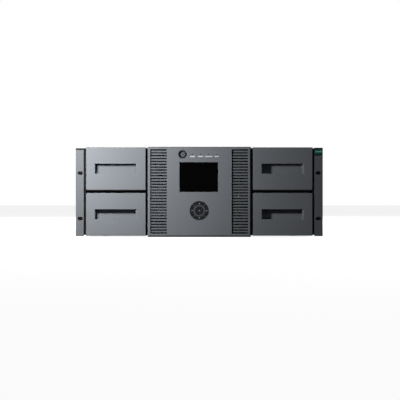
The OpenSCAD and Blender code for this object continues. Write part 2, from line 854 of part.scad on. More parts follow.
module power_inlets() color(black) {
    for (level = [0, 1]) {
        z0 = supply_z + level * supply_step;
        difference() {
            union() {
                box(supply_x + 4, supply_x + 32, rear_y - 18, ports_y, z0 + 10, z0 + 31);
                box(supply_x + 2, supply_x + 34, ports_y, ports_y + 1.6, z0 + 8, z0 + 33);
            }
            box(supply_x + 6.5, supply_x + 29.5, rear_y - 15, ports_y + 3, z0 + 12.5, z0 + 28.5);
        }
        for (x = [11, 18, 25])
            box(supply_x + x - 1, supply_x + x + 1, rear_y - 15, rear_y, z0 + 18, z0 + 22);
    }
}

module fan_rotor(level) color(black) {
    x = supply_x + supply_w - 22;
    z = supply_z + level * supply_step + supply_h / 2;
    rod_along_y(6.5, x, z, rear_y - 13.2, rear_y - 2.5);
    for (k = [0:6])
        translate([x, rear_y - 8, z])
            rotate([0, k * 360 / 7, 0])
                translate([6, 0, 0])
                    rotate([38, 0, 0])
                        translate([0, -4.4, -0.6])
                            cube([fan_r - 6.4, 8.8, 1.2]);
}

module controller_plate() color(steel) {
    difference() {
        box(controller_x, controller_x + controller_w, rear_y, ports_y, 10, 66);
        for (x = [10, 28])
            box(controller_x + x, controller_x + x + 15.5, rear_y - 1, ports_y + 1,
                board_z + 3.6, board_z + 16.6);
        for (x = [50, 67])
            box(controller_x + x, controller_x + x + 13, rear_y - 1, ports_y + 1,
                board_z + 6.6, board_z + 13.1);
        box(controller_x + 12, controller_x + 43, rear_y - 1, ports_y + 1, board_z + 27.6, board_z + 37.6);
    }
}

module controller_board() color([0.1, 0.3, 0.18]) {
    board_top = board_z + board_t;
    box(controller_x + 5, controller_x + controller_w - 5, rear_y - board_l, rear_y, board_z, board_top);
    for (x = [12, controller_w - 12])
        for (y = [board_l - 10, 20])
            post(3, controller_x + x, rear_y - y, pan_top, board_z);
    box(controller_x + 20, controller_x + 50, rear_y - 120, rear_y - 90, board_top, board_top + 6);
    box(controller_x + 15, controller_x + 70, rear_y - 80, rear_y - 72, board_top, board_top + 8);
}

module data_sockets() color(dark) {
    x0 = controller_x;
    for (x = [10, 28])
        difference() {
            box(x0 + x, x0 + x + 15.5, rear_y - 16, ports_y, board_z + 3.6, board_z + 16.6);
            box(x0 + x + 1.9, x0 + x + 13.6, rear_y - 12, ports_y + 1, board_z + 5.8, board_z + 14.4);
        }
    for (x = [50, 67])
        difference() {
            box(x0 + x, x0 + x + 13, rear_y - 12, ports_y, board_z + 6.6, board_z + 13.1);
            box(x0 + x + 0.7, x0 + x + 12.3, rear_y - 9, ports_y + 1, board_z + 7.3, board_z + 12.4);
        }
    difference() {
        box(x0 + 12, x0 + 43, rear_y - 8, ports_y + 5, board_z + 27.6, board_z + 37.6);
        box(x0 + 15, x0 + 40, rear_y - 4, ports_y + 6, board_z + 30.1, board_z + 35.1);
    }
    box(x0 + 10, x0 + 80, rear_y - 16, rear_y - 12, board_z + board_t, board_z + 3.6);
    box(x0 + 50, x0 + 80, rear_y - 12, rear_y, board_z + board_t, board_z + 6.6);
    box(x0 + 12, x0 + 43, rear_y - 8, rear_y - 4, board_z + 16.6, board_z + 27.6);
}

base_pan();
side_panels();
top_cover();
rear_panel();
front_frame();
drive_cage();
magazine_shelves();
magazine_locks();
rack_ears();
ear_covers();
badge_plate();
front_bezel();
vent_grilles();
display_window();
display_module();
keypad_surround();
light_lenses();
rubber_feet();
guide_rod();
rod_supports();
travel_motor();
controller_plate();
controller_board();
data_sockets();
cover_screws();
magazine_front(-1, 0);  // lower_left_front
magazine_tray(-1, 0);  // lower_left_tray
magazine_cartridges(-1, 0, 1);  // lower_left_cartridges
magazine_front(1, 0);  // lower_right_front
magazine_tray(1, 0);  // lower_right_tray
magazine_cartridges(1, 0, 0);  // lower_right_cartridges
magazine_front(-1, 1);  // upper_left_front
magazine_tray(-1, 1);  // upper_left_tray
magazine_cartridges(-1, 1, 0);  // upper_left_cartridges
magazine_front(1, 1);  // upper_right_front
magazine_tray(1, 1);  // upper_right_tray
magazine_cartridges(1, 1, 0);  // upper_right_cartridges
power_button();
arrow_key(0);  // key_up
arrow_key(180);  // key_down
arrow_key(90);  // key_left
arrow_key(270);  // key_right
key_centre();
robot_base();
lift_motor();
lift_frame();
travel_screw();
lift_screw();
lift_platform();
swing_motor();
picker();
gripper();
tape_drives();
drive_sockets();
drive_sleds();
power_supplies();
power_inlets();
fan_rotor(0);  // lower_fan_rotor
fan_rotor(1);  // upper_fan_rotor
blank_covers();
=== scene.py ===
"""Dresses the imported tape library: finishes, small fittings, the studio floor, lights and camera."""

import json
import math

import bpy
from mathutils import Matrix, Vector

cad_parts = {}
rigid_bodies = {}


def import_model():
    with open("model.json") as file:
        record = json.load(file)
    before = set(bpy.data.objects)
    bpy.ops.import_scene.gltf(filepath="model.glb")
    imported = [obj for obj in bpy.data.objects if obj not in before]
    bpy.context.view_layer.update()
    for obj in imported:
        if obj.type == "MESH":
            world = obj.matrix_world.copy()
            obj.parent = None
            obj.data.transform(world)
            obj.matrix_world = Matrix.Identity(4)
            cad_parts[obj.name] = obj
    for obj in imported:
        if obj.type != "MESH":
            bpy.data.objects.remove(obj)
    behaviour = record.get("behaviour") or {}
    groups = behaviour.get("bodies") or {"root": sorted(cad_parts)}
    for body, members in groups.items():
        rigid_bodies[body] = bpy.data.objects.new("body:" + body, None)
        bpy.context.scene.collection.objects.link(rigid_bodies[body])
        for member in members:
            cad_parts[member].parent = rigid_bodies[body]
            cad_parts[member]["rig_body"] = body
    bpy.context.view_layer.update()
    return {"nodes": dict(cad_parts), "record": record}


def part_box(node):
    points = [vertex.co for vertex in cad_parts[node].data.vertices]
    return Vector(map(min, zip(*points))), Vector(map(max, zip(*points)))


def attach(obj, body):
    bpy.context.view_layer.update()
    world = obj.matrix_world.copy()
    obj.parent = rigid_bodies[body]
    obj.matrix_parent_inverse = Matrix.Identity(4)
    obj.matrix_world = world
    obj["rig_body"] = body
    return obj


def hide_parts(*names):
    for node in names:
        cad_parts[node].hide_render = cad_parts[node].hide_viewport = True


bl_info = {
    "name": "Tape library dressing",
    "version": (1, 0, 0),
    "blender": (4, 5, 0),
    "location": "View3D > Sidebar > Tape Library",
    "description": "Builds the finishes and small fittings of a rack-mounted tape library",
    "category": "Object",
}

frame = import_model()
NODES = frame["nodes"]
HOLLOWS = {row["name"]: [Vector(corner) for corner in row["box_m"]]
           for row in frame["record"]["physics"]["openings"]}
SLOTS = {row["node"]: row["material_slot"] for row in frame["record"]["subparts"]}
BEZEL_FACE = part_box("front_bezel")[0].y
REAR_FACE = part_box("controller_plate")[1].y

MM = 0.001
LEVELS = ("lower", "upper")
MAGAZINES = ("lower_left", "lower_right", "upper_left", "upper_right")
# Each key's outer end, as an axis and a side. The centre key has none.
KEY_ENDS = {"key_up": (2, 1), "key_down": (2, -1), "key_left": (0, -1), "key_right": (0, 1),
            "key_centre": None}
# Turns that point a fitting's z axis along a side of the unit.
FACING = {"+z": (0, 0, 0), "+y": (-math.pi / 2, 0, 0), "-y": (math.pi / 2, 0, 0),
          "+x": (0, math.pi / 2, 0), "-x": (0, -math.pi / 2, 0)}

PRINT_PROUD = 0.06 * MM
PRINT_SUNK = 0.1 * MM
PRINT_EDGE = 0.05 * MM
LABEL_WIDTHS = (9.8 * MM, 9.6 * MM, 14.2 * MM, 8.2 * MM)
GUARD_RINGS = (4.5 * MM, 8.6 * MM, 12.7 * MM, 16.8 * MM)
CARTRIDGE = Vector((105.4, 102.0, 21.5)) * MM
ROW_PITCH = 24 * MM
COLUMN_PITCH = 109 * MM
DRIVE_PITCH = 41.6 * MM
SUPPLY_PITCH = 48 * MM
# Radius and height of each kind of screw head.
HEADS = {"cover": (3.3 * MM, 1.0 * MM), "ear": (3.9 * MM, 1.9 * MM), "rear": (2.3 * MM, 1.1 * MM),
         "fan": (1.7 * MM, 1.5 * MM)}
THREAD_LEADS = {"travel_screw": 20 * MM, "lift_screw": 10 * MM}


# ---------------------------------------------------------------- settings

COLOR = {"size": 3, "subtype": "COLOR", "min": 0, "max": 1}


class LibraryFinishes(bpy.types.PropertyGroup):
    """Colours of the painted, moulded and plated surfaces."""

    front: bpy.props.FloatVectorProperty(
        name="Front paint", description="Satin graphite of the fronts",
        default=(0.143, 0.153, 0.166), **COLOR)
    chassis: bpy.props.FloatVectorProperty(
        name="Chassis coat", description="Black powder coat of the sheet metal",
        default=(0.010, 0.010, 0.011), **COLOR)
    vent: bpy.props.FloatVectorProperty(
        name="Louvres", description="Moulded plastic of the louvred vents",
        default=(0.116, 0.125, 0.136), **COLOR)
    keys: bpy.props.FloatVectorProperty(
        name="Keys", description="Dark plastic of the keys",
        default=(0.012, 0.013, 0.015), **COLOR)
    print_white: bpy.props.FloatVectorProperty(
        name="Print", description="Pale print on the front",
        default=(0.52, 0.53, 0.55), **COLOR)
    plating: bpy.props.FloatVectorProperty(
        name="Zinc plating", description="Bright zinc on the inner steel",
        default=(0.34, 0.35, 0.36), **COLOR)


class LibraryTrim(bpy.types.PropertyGroup):
    """Sizes of the fittings and softened edges."""

    front_edge: bpy.props.FloatProperty(
        name="Front edge", description="Radius on the moulded fronts' edges",
        default=0.5 * MM, min=0.1 * MM, max=1.5 * MM, unit="LENGTH")
    sheet_edge: bpy.props.FloatProperty(
        name="Sheet edge", description="Radius on the sheet metal's edges",
        default=0.25 * MM, min=0.05 * MM, max=0.6 * MM, unit="LENGTH")
    print_height: bpy.props.FloatProperty(
        name="Print height", description="Height of the label strips under the lights",
        default=2.0 * MM, min=1 * MM, max=3 * MM, unit="LENGTH")
    print_drop: bpy.props.FloatProperty(
        name="Print drop", description="Distance of the label strips below the lights",
        default=4.3 * MM, min=3 * MM, max=6 * MM, unit="LENGTH")
    dot_radius: bpy.props.FloatProperty(
        name="Key dot", description="Radius of the pale dot on each key",
        default=0.9 * MM, min=0.5 * MM, max=2 * MM, unit="LENGTH")
    guard_wire: bpy.props.FloatProperty(
        name="Guard wire", description="Radius of the fan guards' wire",
        default=0.7 * MM, min=0.4 * MM, max=1.2 * MM, unit="LENGTH")


class LibraryStudio(bpy.types.PropertyGroup):
    """Camera and lights."""

    camera_distance: bpy.props.FloatProperty(
        name="Camera distance", description="From the camera to the bezel face",
        default=2.6, min=1, max=6, unit="LENGTH")
    camera_height: bpy.props.FloatProperty(
        name="Camera height", description="Height of the camera above the floor",
        default=72.6 * MM, min=0, max=1, unit="LENGTH")
    camera_side: bpy.props.FloatProperty(
        name="Camera side", description="Camera's place across the front",
        default=1.4 * MM, min=-0.1, max=0.1, unit="LENGTH")
    view_width: bpy.props.FloatProperty(
        name="View width", description="Width that the view takes in at the bezel face",
        default=0.779, min=0.5, max=2, unit="LENGTH")
    key_power: bpy.props.FloatProperty(
        name="Key light", description="Power of the near light on the left",
        default=4.25, min=0, max=200)
    fill_power: bpy.props.FloatProperty(
        name="Rear lights", description="Power of the wide lights behind and above",
        default=40.0, min=0, max=200)
    sky: bpy.props.FloatProperty(
        name="Surroundings", description="Strength of the pale surroundings",
        default=0.03, min=0, max=1)


def finishes():
    return bpy.context.scene.library_finishes


def trim():
    return bpy.context.scene.library_trim


def studio():
    return bpy.context.scene.library_studio


# ---------------------------------------------------------------- modelling helpers


def only(*objects):
    """Selects these objects alone, and makes the first active."""
    bpy.ops.object.select_all(action="DESELECT")
    for obj in objects:
        obj.select_set(True)
    bpy.context.view_layer.objects.active = objects[0]


def settle(name):
    """Names the new primitive and puts its place in its mesh."""
    obj = bpy.context.active_object
    only(obj)
    bpy.ops.object.transform_apply(location=True, rotation=True, scale=True)
    obj.name = name
    obj.data.name = name
    return obj


def block(name, low, high, edge=0, segments=2):
    """A block between two corners, with rounded edges if a radius is given."""
    low, high = Vector(low), Vector(high)
    bpy.ops.object.select_all(action="DESELECT")
    bpy.ops.mesh.primitive_cube_add(size=1, location=(low + high) / 2)
    bpy.context.active_object.scale = high - low
    obj = settle(name)
    if edge:
        round_edges(obj, edge, segments)
    return obj


def drum(name, radius, start, end, sides=32, edge=0, segments=2):
    """A round bar from start to end, with rounded edges if a radius is given."""
    start, end = Vector(start), Vector(end)
    run = end - start
    bpy.ops.object.select_all(action="DESELECT")
    bpy.ops.mesh.primitive_cylinder_add(
        vertices=sides, radius=radius, depth=run.length, location=(start + end) / 2,
        rotation=run.to_track_quat("Z", "Y").to_euler())
    obj = settle(name)
    if edge:
        round_edges(obj, edge, segments)
    return obj


def hoop(name, ring, wire, centre):
    """A ring of round wire that faces along Y."""
    bpy.ops.object.select_all(action="DESELECT")
    bpy.ops.mesh.primitive_torus_add(
        major_radius=ring, minor_radius=wire, major_segments=40, minor_segments=8,
        location=centre, rotation=FACING["-y"])
    return settle(name)


def applied(obj, kind, **settings):
    """Adds a modifier with these settings and applies it."""
    modifier = obj.modifiers.new(kind.lower(), kind)
    for setting, value in settings.items():
        setattr(modifier, setting, value)
    only(obj)
    bpy.ops.object.modifier_apply(modifier=modifier.name)


def round_edges(obj, width, segments=2, angle=30):
    """Softens the sharp edges and keeps the flat faces flat."""
    only(obj)
    bpy.ops.object.shade_smooth_by_angle(angle=math.radians(angle))
    applied(obj, "BEVEL", width=width, segments=segments, limit_method="ANGLE",
            angle_limit=math.radians(angle), use_clamp_overlap=True, harden_normals=True)
    applied(obj, "WEIGHTED_NORMAL", keep_sharp=True, weight=100)


def carved(obj, low, high):
    """Cuts a block out of the piece."""
    cutter = block("cutter", low, high)
    applied(obj, "BOOLEAN", operation="DIFFERENCE", object=cutter)
    bpy.data.objects.remove(cutter)


def nothing_picked(obj, kind):
    """Clears the piece's selection of faces or edges, and leaves edit mode."""
    only(obj)
    bpy.ops.object.mode_set(mode="EDIT")
    bpy.ops.mesh.select_mode(type=kind)
    bpy.ops.mesh.select_all(action="DESELECT")
    bpy.ops.object.mode_set(mode="OBJECT")


def picked(obj, test):
    """Enters edit mode with just the faces selected that pass the test."""
    nothing_picked(obj, "FACE")
    for face in obj.data.polygons:
        face.select = test(face)
    bpy.ops.object.mode_set(mode="EDIT")


def picked_along(obj, axis):
    """Enters edit mode with just the edges selected that run along one axis."""
    nothing_picked(obj, "EDGE")
    points = obj.data.vertices
    for edge in obj.data.edges:
        run = points[edge.vertices[1]].co - points[edge.vertices[0]].co
        edge.select = abs(run[axis]) > 0.99 * run.length
    bpy.ops.object.mode_set(mode="EDIT")


def round_edges_along(obj, axis, width, segments):
    """Rounds the edges of a block that run along one axis."""
    picked_along(obj, axis)
    bpy.ops.mesh.bevel(offset=width, segments=segments, affect="EDGES", clamp_overlap=True)
    bpy.ops.object.mode_set(mode="OBJECT")
    bpy.ops.object.shade_smooth_by_angle(angle=math.radians(30))


def inset(obj, test, *steps, each=False):
    """Insets the faces that pass the test, by each (margin, rise) in turn."""
    picked(obj, test)
    for margin, rise in steps:
        bpy.ops.mesh.inset(thickness=margin, depth=rise, use_individual=each)
    bpy.ops.object.mode_set(mode="OBJECT")


def repeated(obj, count, pitch):
    """A row of copies across the unit, as one piece."""
    applied(obj, "ARRAY", count=count, use_relative_offset=False, use_constant_offset=True,
            constant_offset_displace=(pitch, 0, 0))


def joined(name, parts):
    """One piece from its parts, under its own name."""
    only(*parts)
    if len(parts) > 1:
        bpy.ops.object.join()
    obj = bpy.context.active_object
    obj.name = name
    obj.data.name = name
    return obj


def scattered(pattern, name, spots):
    """Copies of one piece at each (place, turn), joined; the pattern itself goes."""
    parts = []
    for place, turn in spots:
        only(pattern)
        bpy.ops.object.duplicate()
        part = bpy.context.active_object
        part.location = place
        part.rotation_euler = turn
        parts.append(part)
    bpy.data.objects.remove(pattern)
    for part in parts:
        only(part)
        bpy.ops.object.transform_apply(location=True, rotation=True, scale=True)
    return joined(name, parts)


def screw_head(radius, height):
    """A pan head with a cross recess, which stands on z = 0."""
    crown, floor, arm, half = height * 0.45, height * 0.35, radius * 0.62, radius * 0.14
    head = drum("head", radius, (0, 0, 0), (0, 0, height), 24)
    round_edges(head, crown, 3, 60)
    for x, y in ((arm, half), (half, arm)):
        carved(head, (-x, -y, floor), (x, y, height * 2))
    return head


def thumbscrew(radius, height):
    """A knurled head with a driver slot, which stands on z = 0."""
    groove_rim, groove_deep, top_rim, top_rise = 0.06 * MM, 0.3 * MM, 0.7 * MM, 0.35 * MM
    slot_half, slot_deep, over = 0.4 * MM, 0.8 * MM, 2 * MM
    head = drum("knob", radius, (0, 0, 0), (0, 0, height))
    around = sorted((face for face in head.data.polygons if abs(face.normal.z) < 0.5),
                    key=lambda face: math.atan2(face.center.y, face.center.x))
    grooves = {face.index for face in around[::2]}
    inset(head, lambda face: face.index in grooves, (groove_rim, -groove_deep), each=True)
    picked(head, lambda face: face.normal.z > 0.9)
    bpy.ops.mesh.inset(thickness=top_rim)
    bpy.ops.transform.translate(value=(0, 0, top_rise))
    bpy.ops.object.mode_set(mode="OBJECT")
    carved(head, (-radius * 2, -slot_half, height - slot_deep), (radius * 2, slot_half, height + over))
    return head


def sleeve(name, low, high, wall):
    """A rectangular tube along Y, with its wall inside the box."""
    obj = block(name, low, high)
    picked(obj, lambda face: abs(face.normal.y) > 0.9)
    bpy.ops.mesh.delete(type="FACE")
    bpy.ops.object.mode_set(mode="OBJECT")
    applied(obj, "SOLIDIFY", thickness=wall, offset=-1)
    round_edges(obj, wall * 0.3)
    return obj


def threaded(name, radius, start, end, lead, starts=3, steps_a_turn=14):
    """A lead screw from start to end: a lobed bar, twisted."""
    root_share = 0.86
    length = (end - start).length
    bpy.ops.object.select_all(action="DESELECT")
    bpy.ops.mesh.primitive_circle_add(vertices=4 * starts, radius=radius, fill_type="NGON")
    bar = bpy.context.active_object
    for index, point in enumerate(bar.data.vertices):
        if index % 4 > 1:
            point.co *= root_share
    picked(bar, lambda face: True)
    bpy.ops.mesh.extrude_region_move(TRANSFORM_OT_translate={"value": (0, 0, length)})
    bpy.ops.object.mode_set(mode="OBJECT")
    picked_along(bar, 2)
    bpy.ops.mesh.subdivide(number_cuts=int(steps_a_turn * length / lead))
    bpy.ops.mesh.select_all(action="SELECT")
    bpy.ops.mesh.normals_make_consistent(inside=False)
    bpy.ops.object.mode_set(mode="OBJECT")
    applied(bar, "SIMPLE_DEFORM", deform_method="TWIST", deform_axis="Z",
            angle=2 * math.pi * length / lead)
    bar.rotation_euler = (end - start).to_track_quat("Z", "Y").to_euler()
    bar.location = start
    bar = settle(name)
    bpy.ops.object.shade_smooth_by_angle(angle=math.radians(50))
    return bar


def dress(obj, body, slot, look=None):
    """Gives a piece a finish, by default its slot's own, and the body that it rides on."""
    obj.data.materials.clear()
    obj.data.materials.append(MATERIALS[look or slot])
    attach(obj, body)


def softened(node, width, segments=2, look=None):
    """A copy of a CAD node with merged faces and softened edges, which stands for the node."""
    merge_gap, flat_angle = 0.002 * MM, math.radians(0.5)
    source = NODES[node]
    obj = source.copy()
    obj.data = source.data.copy()
    for key in list(obj.keys()):
        del obj[key]
    obj.parent = None
    bpy.context.scene.collection.objects.link(obj)
    obj.name = node + "_finished"
    obj.data.name = obj.name
    only(obj)
    bpy.ops.object.mode_set(mode="EDIT")
    bpy.ops.mesh.select_all(action="SELECT")
    bpy.ops.mesh.remove_doubles(threshold=merge_gap)
    bpy.ops.mesh.dissolve_limited(angle_limit=flat_angle)
    bpy.ops.object.mode_set(mode="OBJECT")
    round_edges(obj, width, segments)
    dress(obj, source["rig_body"], SLOTS[node], look)
    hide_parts(node)


def soften_sheet(*nodes):
    """Breaks the edges of thin and small nodes with one narrow chamfer."""
    for node in nodes:
        softened(node, trim().sheet_edge, segments=1)


# ---------------------------------------------------------------- materials

MATERIALS = {}


def maths(tree, operation, *values):
    """The output of a math node fed by numbers and other nodes' outputs."""
    node = tree.nodes.new("ShaderNodeMath")
    node.operation = operation
    for socket, value in zip(node.inputs, values):
        if isinstance(value, bpy.types.NodeSocket):
            tree.links.new(value, socket)
        else:
            socket.default_value = value
    return node.outputs[0]


def grain_group():
    """Noise that varies a finish: colour, roughness and a fine relief."""
    tree = bpy.data.node_groups.new("surface_grain", "ShaderNodeTree")
    sockets = {
        "INPUT": {"Color": "Color", "Roughness": "Float", "Scale": "Float", "Stretch": "Vector",
                  "Color Shift": "Float", "Roughness Shift": "Float", "Relief": "Float"},
        "OUTPUT": {"Color": "Color", "Roughness": "Float", "Normal": "Vector"}}
    for way, kinds in sockets.items():
        for name, kind in kinds.items():
            tree.interface.new_socket(name=name, in_out=way, socket_type="NodeSocket" + kind)
    nodes, link = tree.nodes, tree.links.new
    given = nodes.new("NodeGroupInput").outputs
    result = nodes.new("NodeGroupOutput").inputs
    place = nodes.new("ShaderNodeTexCoord").outputs["Object"]
    stretch = nodes.new("ShaderNodeVectorMath")
    stretch.operation = "MULTIPLY"
    link(place, stretch.inputs[0])
    link(given["Stretch"], stretch.inputs[1])
    fine = nodes.new("ShaderNodeTexNoise")
    fine.inputs["Detail"].default_value = 3
    link(stretch.outputs[0], fine.inputs["Vector"])
    link(given["Scale"], fine.inputs["Scale"])
    broad = nodes.new("ShaderNodeTexNoise")
    broad.inputs["Scale"].default_value = 9
    broad.inputs["Detail"].default_value = 2
    link(place, broad.inputs["Vector"])
    centred = maths(tree, "SUBTRACT", maths(tree, "ADD", fine.outputs["Fac"], broad.outputs["Fac"]), 1)
    tone = nodes.new("ShaderNodeHueSaturation")
    link(maths(tree, "MULTIPLY_ADD", centred, given["Color Shift"], 1), tone.inputs["Value"])
    link(given["Color"], tone.inputs["Color"])
    link(tone.outputs["Color"], result["Color"])
    link(maths(tree, "MULTIPLY_ADD", centred, given["Roughness Shift"], given["Roughness"]),
         result["Roughness"])
    bump = nodes.new("ShaderNodeBump")
    bump.inputs["Distance"].default_value = 0.1 * MM
    link(given["Relief"], bump.inputs["Strength"])
    link(fine.outputs["Fac"], bump.inputs["Height"])
    link(bump.outputs["Normal"], result["Normal"])
    return tree


def finish(name, color, roughness, metallic=0.0, scale=900.0, stretch=(1, 1, 1),
           color_shift=0.12, rough_shift=0.12, relief=0.25, specular=0.5):
    """A finish on the shared grain, with its own colour and gloss."""
    material = bpy.data.materials.new(name)
    material.use_nodes = True
    nodes, link = material.node_tree.nodes, material.node_tree.links.new
    shader = nodes["Principled BSDF"]
    shader.inputs["Metallic"].default_value = metallic
    shader.inputs["Specular IOR Level"].default_value = specular
    grain = nodes.new("ShaderNodeGroup")
    grain.node_tree = bpy.data.node_groups.get("surface_grain") or grain_group()
    given = {"Color": (*color, 1), "Roughness": roughness, "Scale": scale, "Stretch": stretch,
             "Color Shift": color_shift, "Roughness Shift": rough_shift, "Relief": relief}
    for socket, value in given.items():
        grain.inputs[socket].default_value = value
    for output, socket in (("Color", "Base Color"), ("Roughness", "Roughness"), ("Normal", "Normal")):
        link(grain.outputs[output], shader.inputs[socket])
    material.diffuse_color = (*color, 1)
    return material


def make_finishes():
    """One material for each material slot of the record, and a few for print and contacts."""
    look = finishes()
    satin = {"scale": 1500, "color_shift": 0.10, "relief": 0.12, "specular": 0.05}
    printed = {"color_shift": 0.05, "relief": 0.0}
    ear_color = [0.74 * part for part in look.front]
    return {
        "graphite": finish("graphite_paint", look.front, 0.5, **satin),
        "vent_plastic": finish("louvre_plastic", look.vent, 0.5, **satin),
        "ear": finish("ear_moulding", ear_color, 0.5, **satin),
        "black_steel": finish("powder_coat", look.chassis, 0.55, scale=1100, color_shift=0.2,
                              relief=0.5, specular=0.1),
        "ear_steel": finish("ear_coat", (0.004, 0.004, 0.004), 0.6, scale=1100, relief=0.4,
                            specular=0.05),
        "badge": finish("badge_gloss", (0.008, 0.035, 0.028), 0.4, relief=0.02, specular=0.08),
        "badge_band": finish("badge_band", (0.10, 0.42, 0.32), 0.45, relief=0.0, specular=0.1),
        "zinc_steel": finish("zinc_plate", look.plating, 0.36, metallic=1.0, scale=160,
                             color_shift=0.25, rough_shift=0.25, relief=0.05),
        "ground_steel": finish("ground_bar", (0.62, 0.62, 0.63), 0.24, metallic=1.0, scale=500,
                               stretch=(1, 1, 12), relief=0.1),
        "alloy": finish("satin_alloy", (0.56, 0.57, 0.59), 0.34, metallic=1.0, scale=300,
                        stretch=(1, 14, 1), relief=0.08),
        "drive_metal": finish("drive_case", (0.110, 0.115, 0.120), 0.42, metallic=0.6, scale=700,
                              relief=0.12),
        "dark_plastic": finish("dark_moulding", (0.020, 0.020, 0.022), 0.52, scale=1600, relief=0.3),
        "tray_plastic": finish("tray_moulding", (0.035, 0.036, 0.040), 0.50, scale=1400, relief=0.3),
        "cartridge_plastic": finish("cartridge_moulding", (0.016, 0.017, 0.020), 0.48, scale=1600,
                                    relief=0.35),
        "key_plastic": finish("key_moulding", look.keys, 0.45, scale=1700, relief=0.15,
                              specular=0.06),
        "keypad_plastic": finish("keypad_moulding", (0.060, 0.063, 0.070), 0.40, scale=1700,
                                 relief=0.15, specular=0.1),
        "motor_black": finish("motor_paint", (0.015, 0.015, 0.017), 0.42, relief=0.2),
        "foot_rubber": finish("foot_rubber", (0.014, 0.014, 0.014), 0.8, scale=1200, relief=0.6),
        "window_glass": finish("display_gloss", (0.0006, 0.0006, 0.0007), 0.10, color_shift=0.02,
                               rough_shift=0.02, relief=0.0, specular=0.012),
        "lens": finish("lens_plastic", (0.030, 0.036, 0.034), 0.2, relief=0.0),
        "signal": finish("signal_lens", (0.05, 0.30, 0.07), 0.2, relief=0.0),
        "board": finish("solder_mask", (0.010, 0.090, 0.040), 0.38, scale=700, relief=0.15),
        "chip": finish("chip_body", (0.018, 0.018, 0.020), 0.45, relief=0.1),
        # Near-black: painted shade in the ears' slots and round the power button's dish, and the print
        # of the power mark.
        "plug": finish("slot_plug", (0.003, 0.003, 0.003), 0.6, relief=0.1, specular=0.05),
        "key_print": finish("key_print", (0.28, 0.29, 0.31), 0.6, **printed),
        "print": finish("pale_print", look.print_white, 0.6, **printed),
        "band": finish("label_band", (0.55, 0.17, 0.03), 0.5, **printed),
        "label": finish("paper_label", (0.70, 0.70, 0.68), 0.6, scale=600, color_shift=0.06,
                        relief=0.05),
        "pin": finish("plated_pin", (0.66, 0.66, 0.64), 0.28, metallic=1.0, relief=0.0),
        "contact": finish("gold_contact", (0.80, 0.56, 0.22), 0.25, metallic=1.0, relief=0.0),
    }


# ---------------------------------------------------------------- operators


class LIBRARY_OT_finishes(bpy.types.Operator):
    """Gives every CAD node the material of its slot"""

    bl_idname = "library.finishes"
    bl_label = "Finishes"

    def execute(self, context):
        MATERIALS.update(make_finishes())
        for node, slot in SLOTS.items():
            mesh = NODES[node].data
            mesh.materials.clear()
            mesh.materials.append(MATERIALS[slot])
        return {"FINISHED"}


class LIBRARY_OT_fronts(bpy.types.Operator):
    """Softens the bezel, magazine fronts, louvres and ears, and fills the ears' slots with near-black
    blocks of painted shade
    """

    bl_idname = "library.fronts"
    bl_label = "Fronts"

    def execute(self, context):
        edge = trim().front_edge
        softened("front_bezel", edge)
        softened("ear_covers", edge * 0.6, look="ear")
        # Painted shade: near-black blocks in the ears' slots.
        self.slot_plugs()
        softened("badge_plate", edge * 0.6)
        softened("rack_ears", trim().sheet_edge, look="ear_steel")
        softened("vent_grilles", edge * 0.4, segments=1)
        for name in MAGAZINES:
            softened(name + "_front", edge)
        return {"FINISHED"}

    def slot_plugs(self):
        """Near-black blocks with rounded ends in the ears' slots: painted shade that stands for the
        dark seen through the slots.
        """
        recess, thickness = 0.1 * MM, 1.8 * MM
        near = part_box("rack_ears")[0].y + recess
        far = near + thickness
        hole = frame["record"]["mounts"][0]
        middle = hole["pos_m"][2]
        half = hole["dims"]["spacing_y_mm"] * MM / 2
        across = hole["dims"]["spacing_x_mm"] * MM / 2
        length = hole["dims"]["slot_length_mm"] * MM / 2
        radius = hole["dims"]["hole_r_mm"] * MM
        parts = []
        for x in (-across, across):
            for z in (middle - half, middle + half):
                plug = block("plug", (x - length, near, z - radius), (x + length, far, z + radius))
                round_edges_along(plug, 1, radius * 0.98, 6)
                parts.append(plug)
        # Near-black painted shade, where the slots show only dark.
        dress(joined("slot_plugs", parts), "chassis", "dark_plastic", "plug")


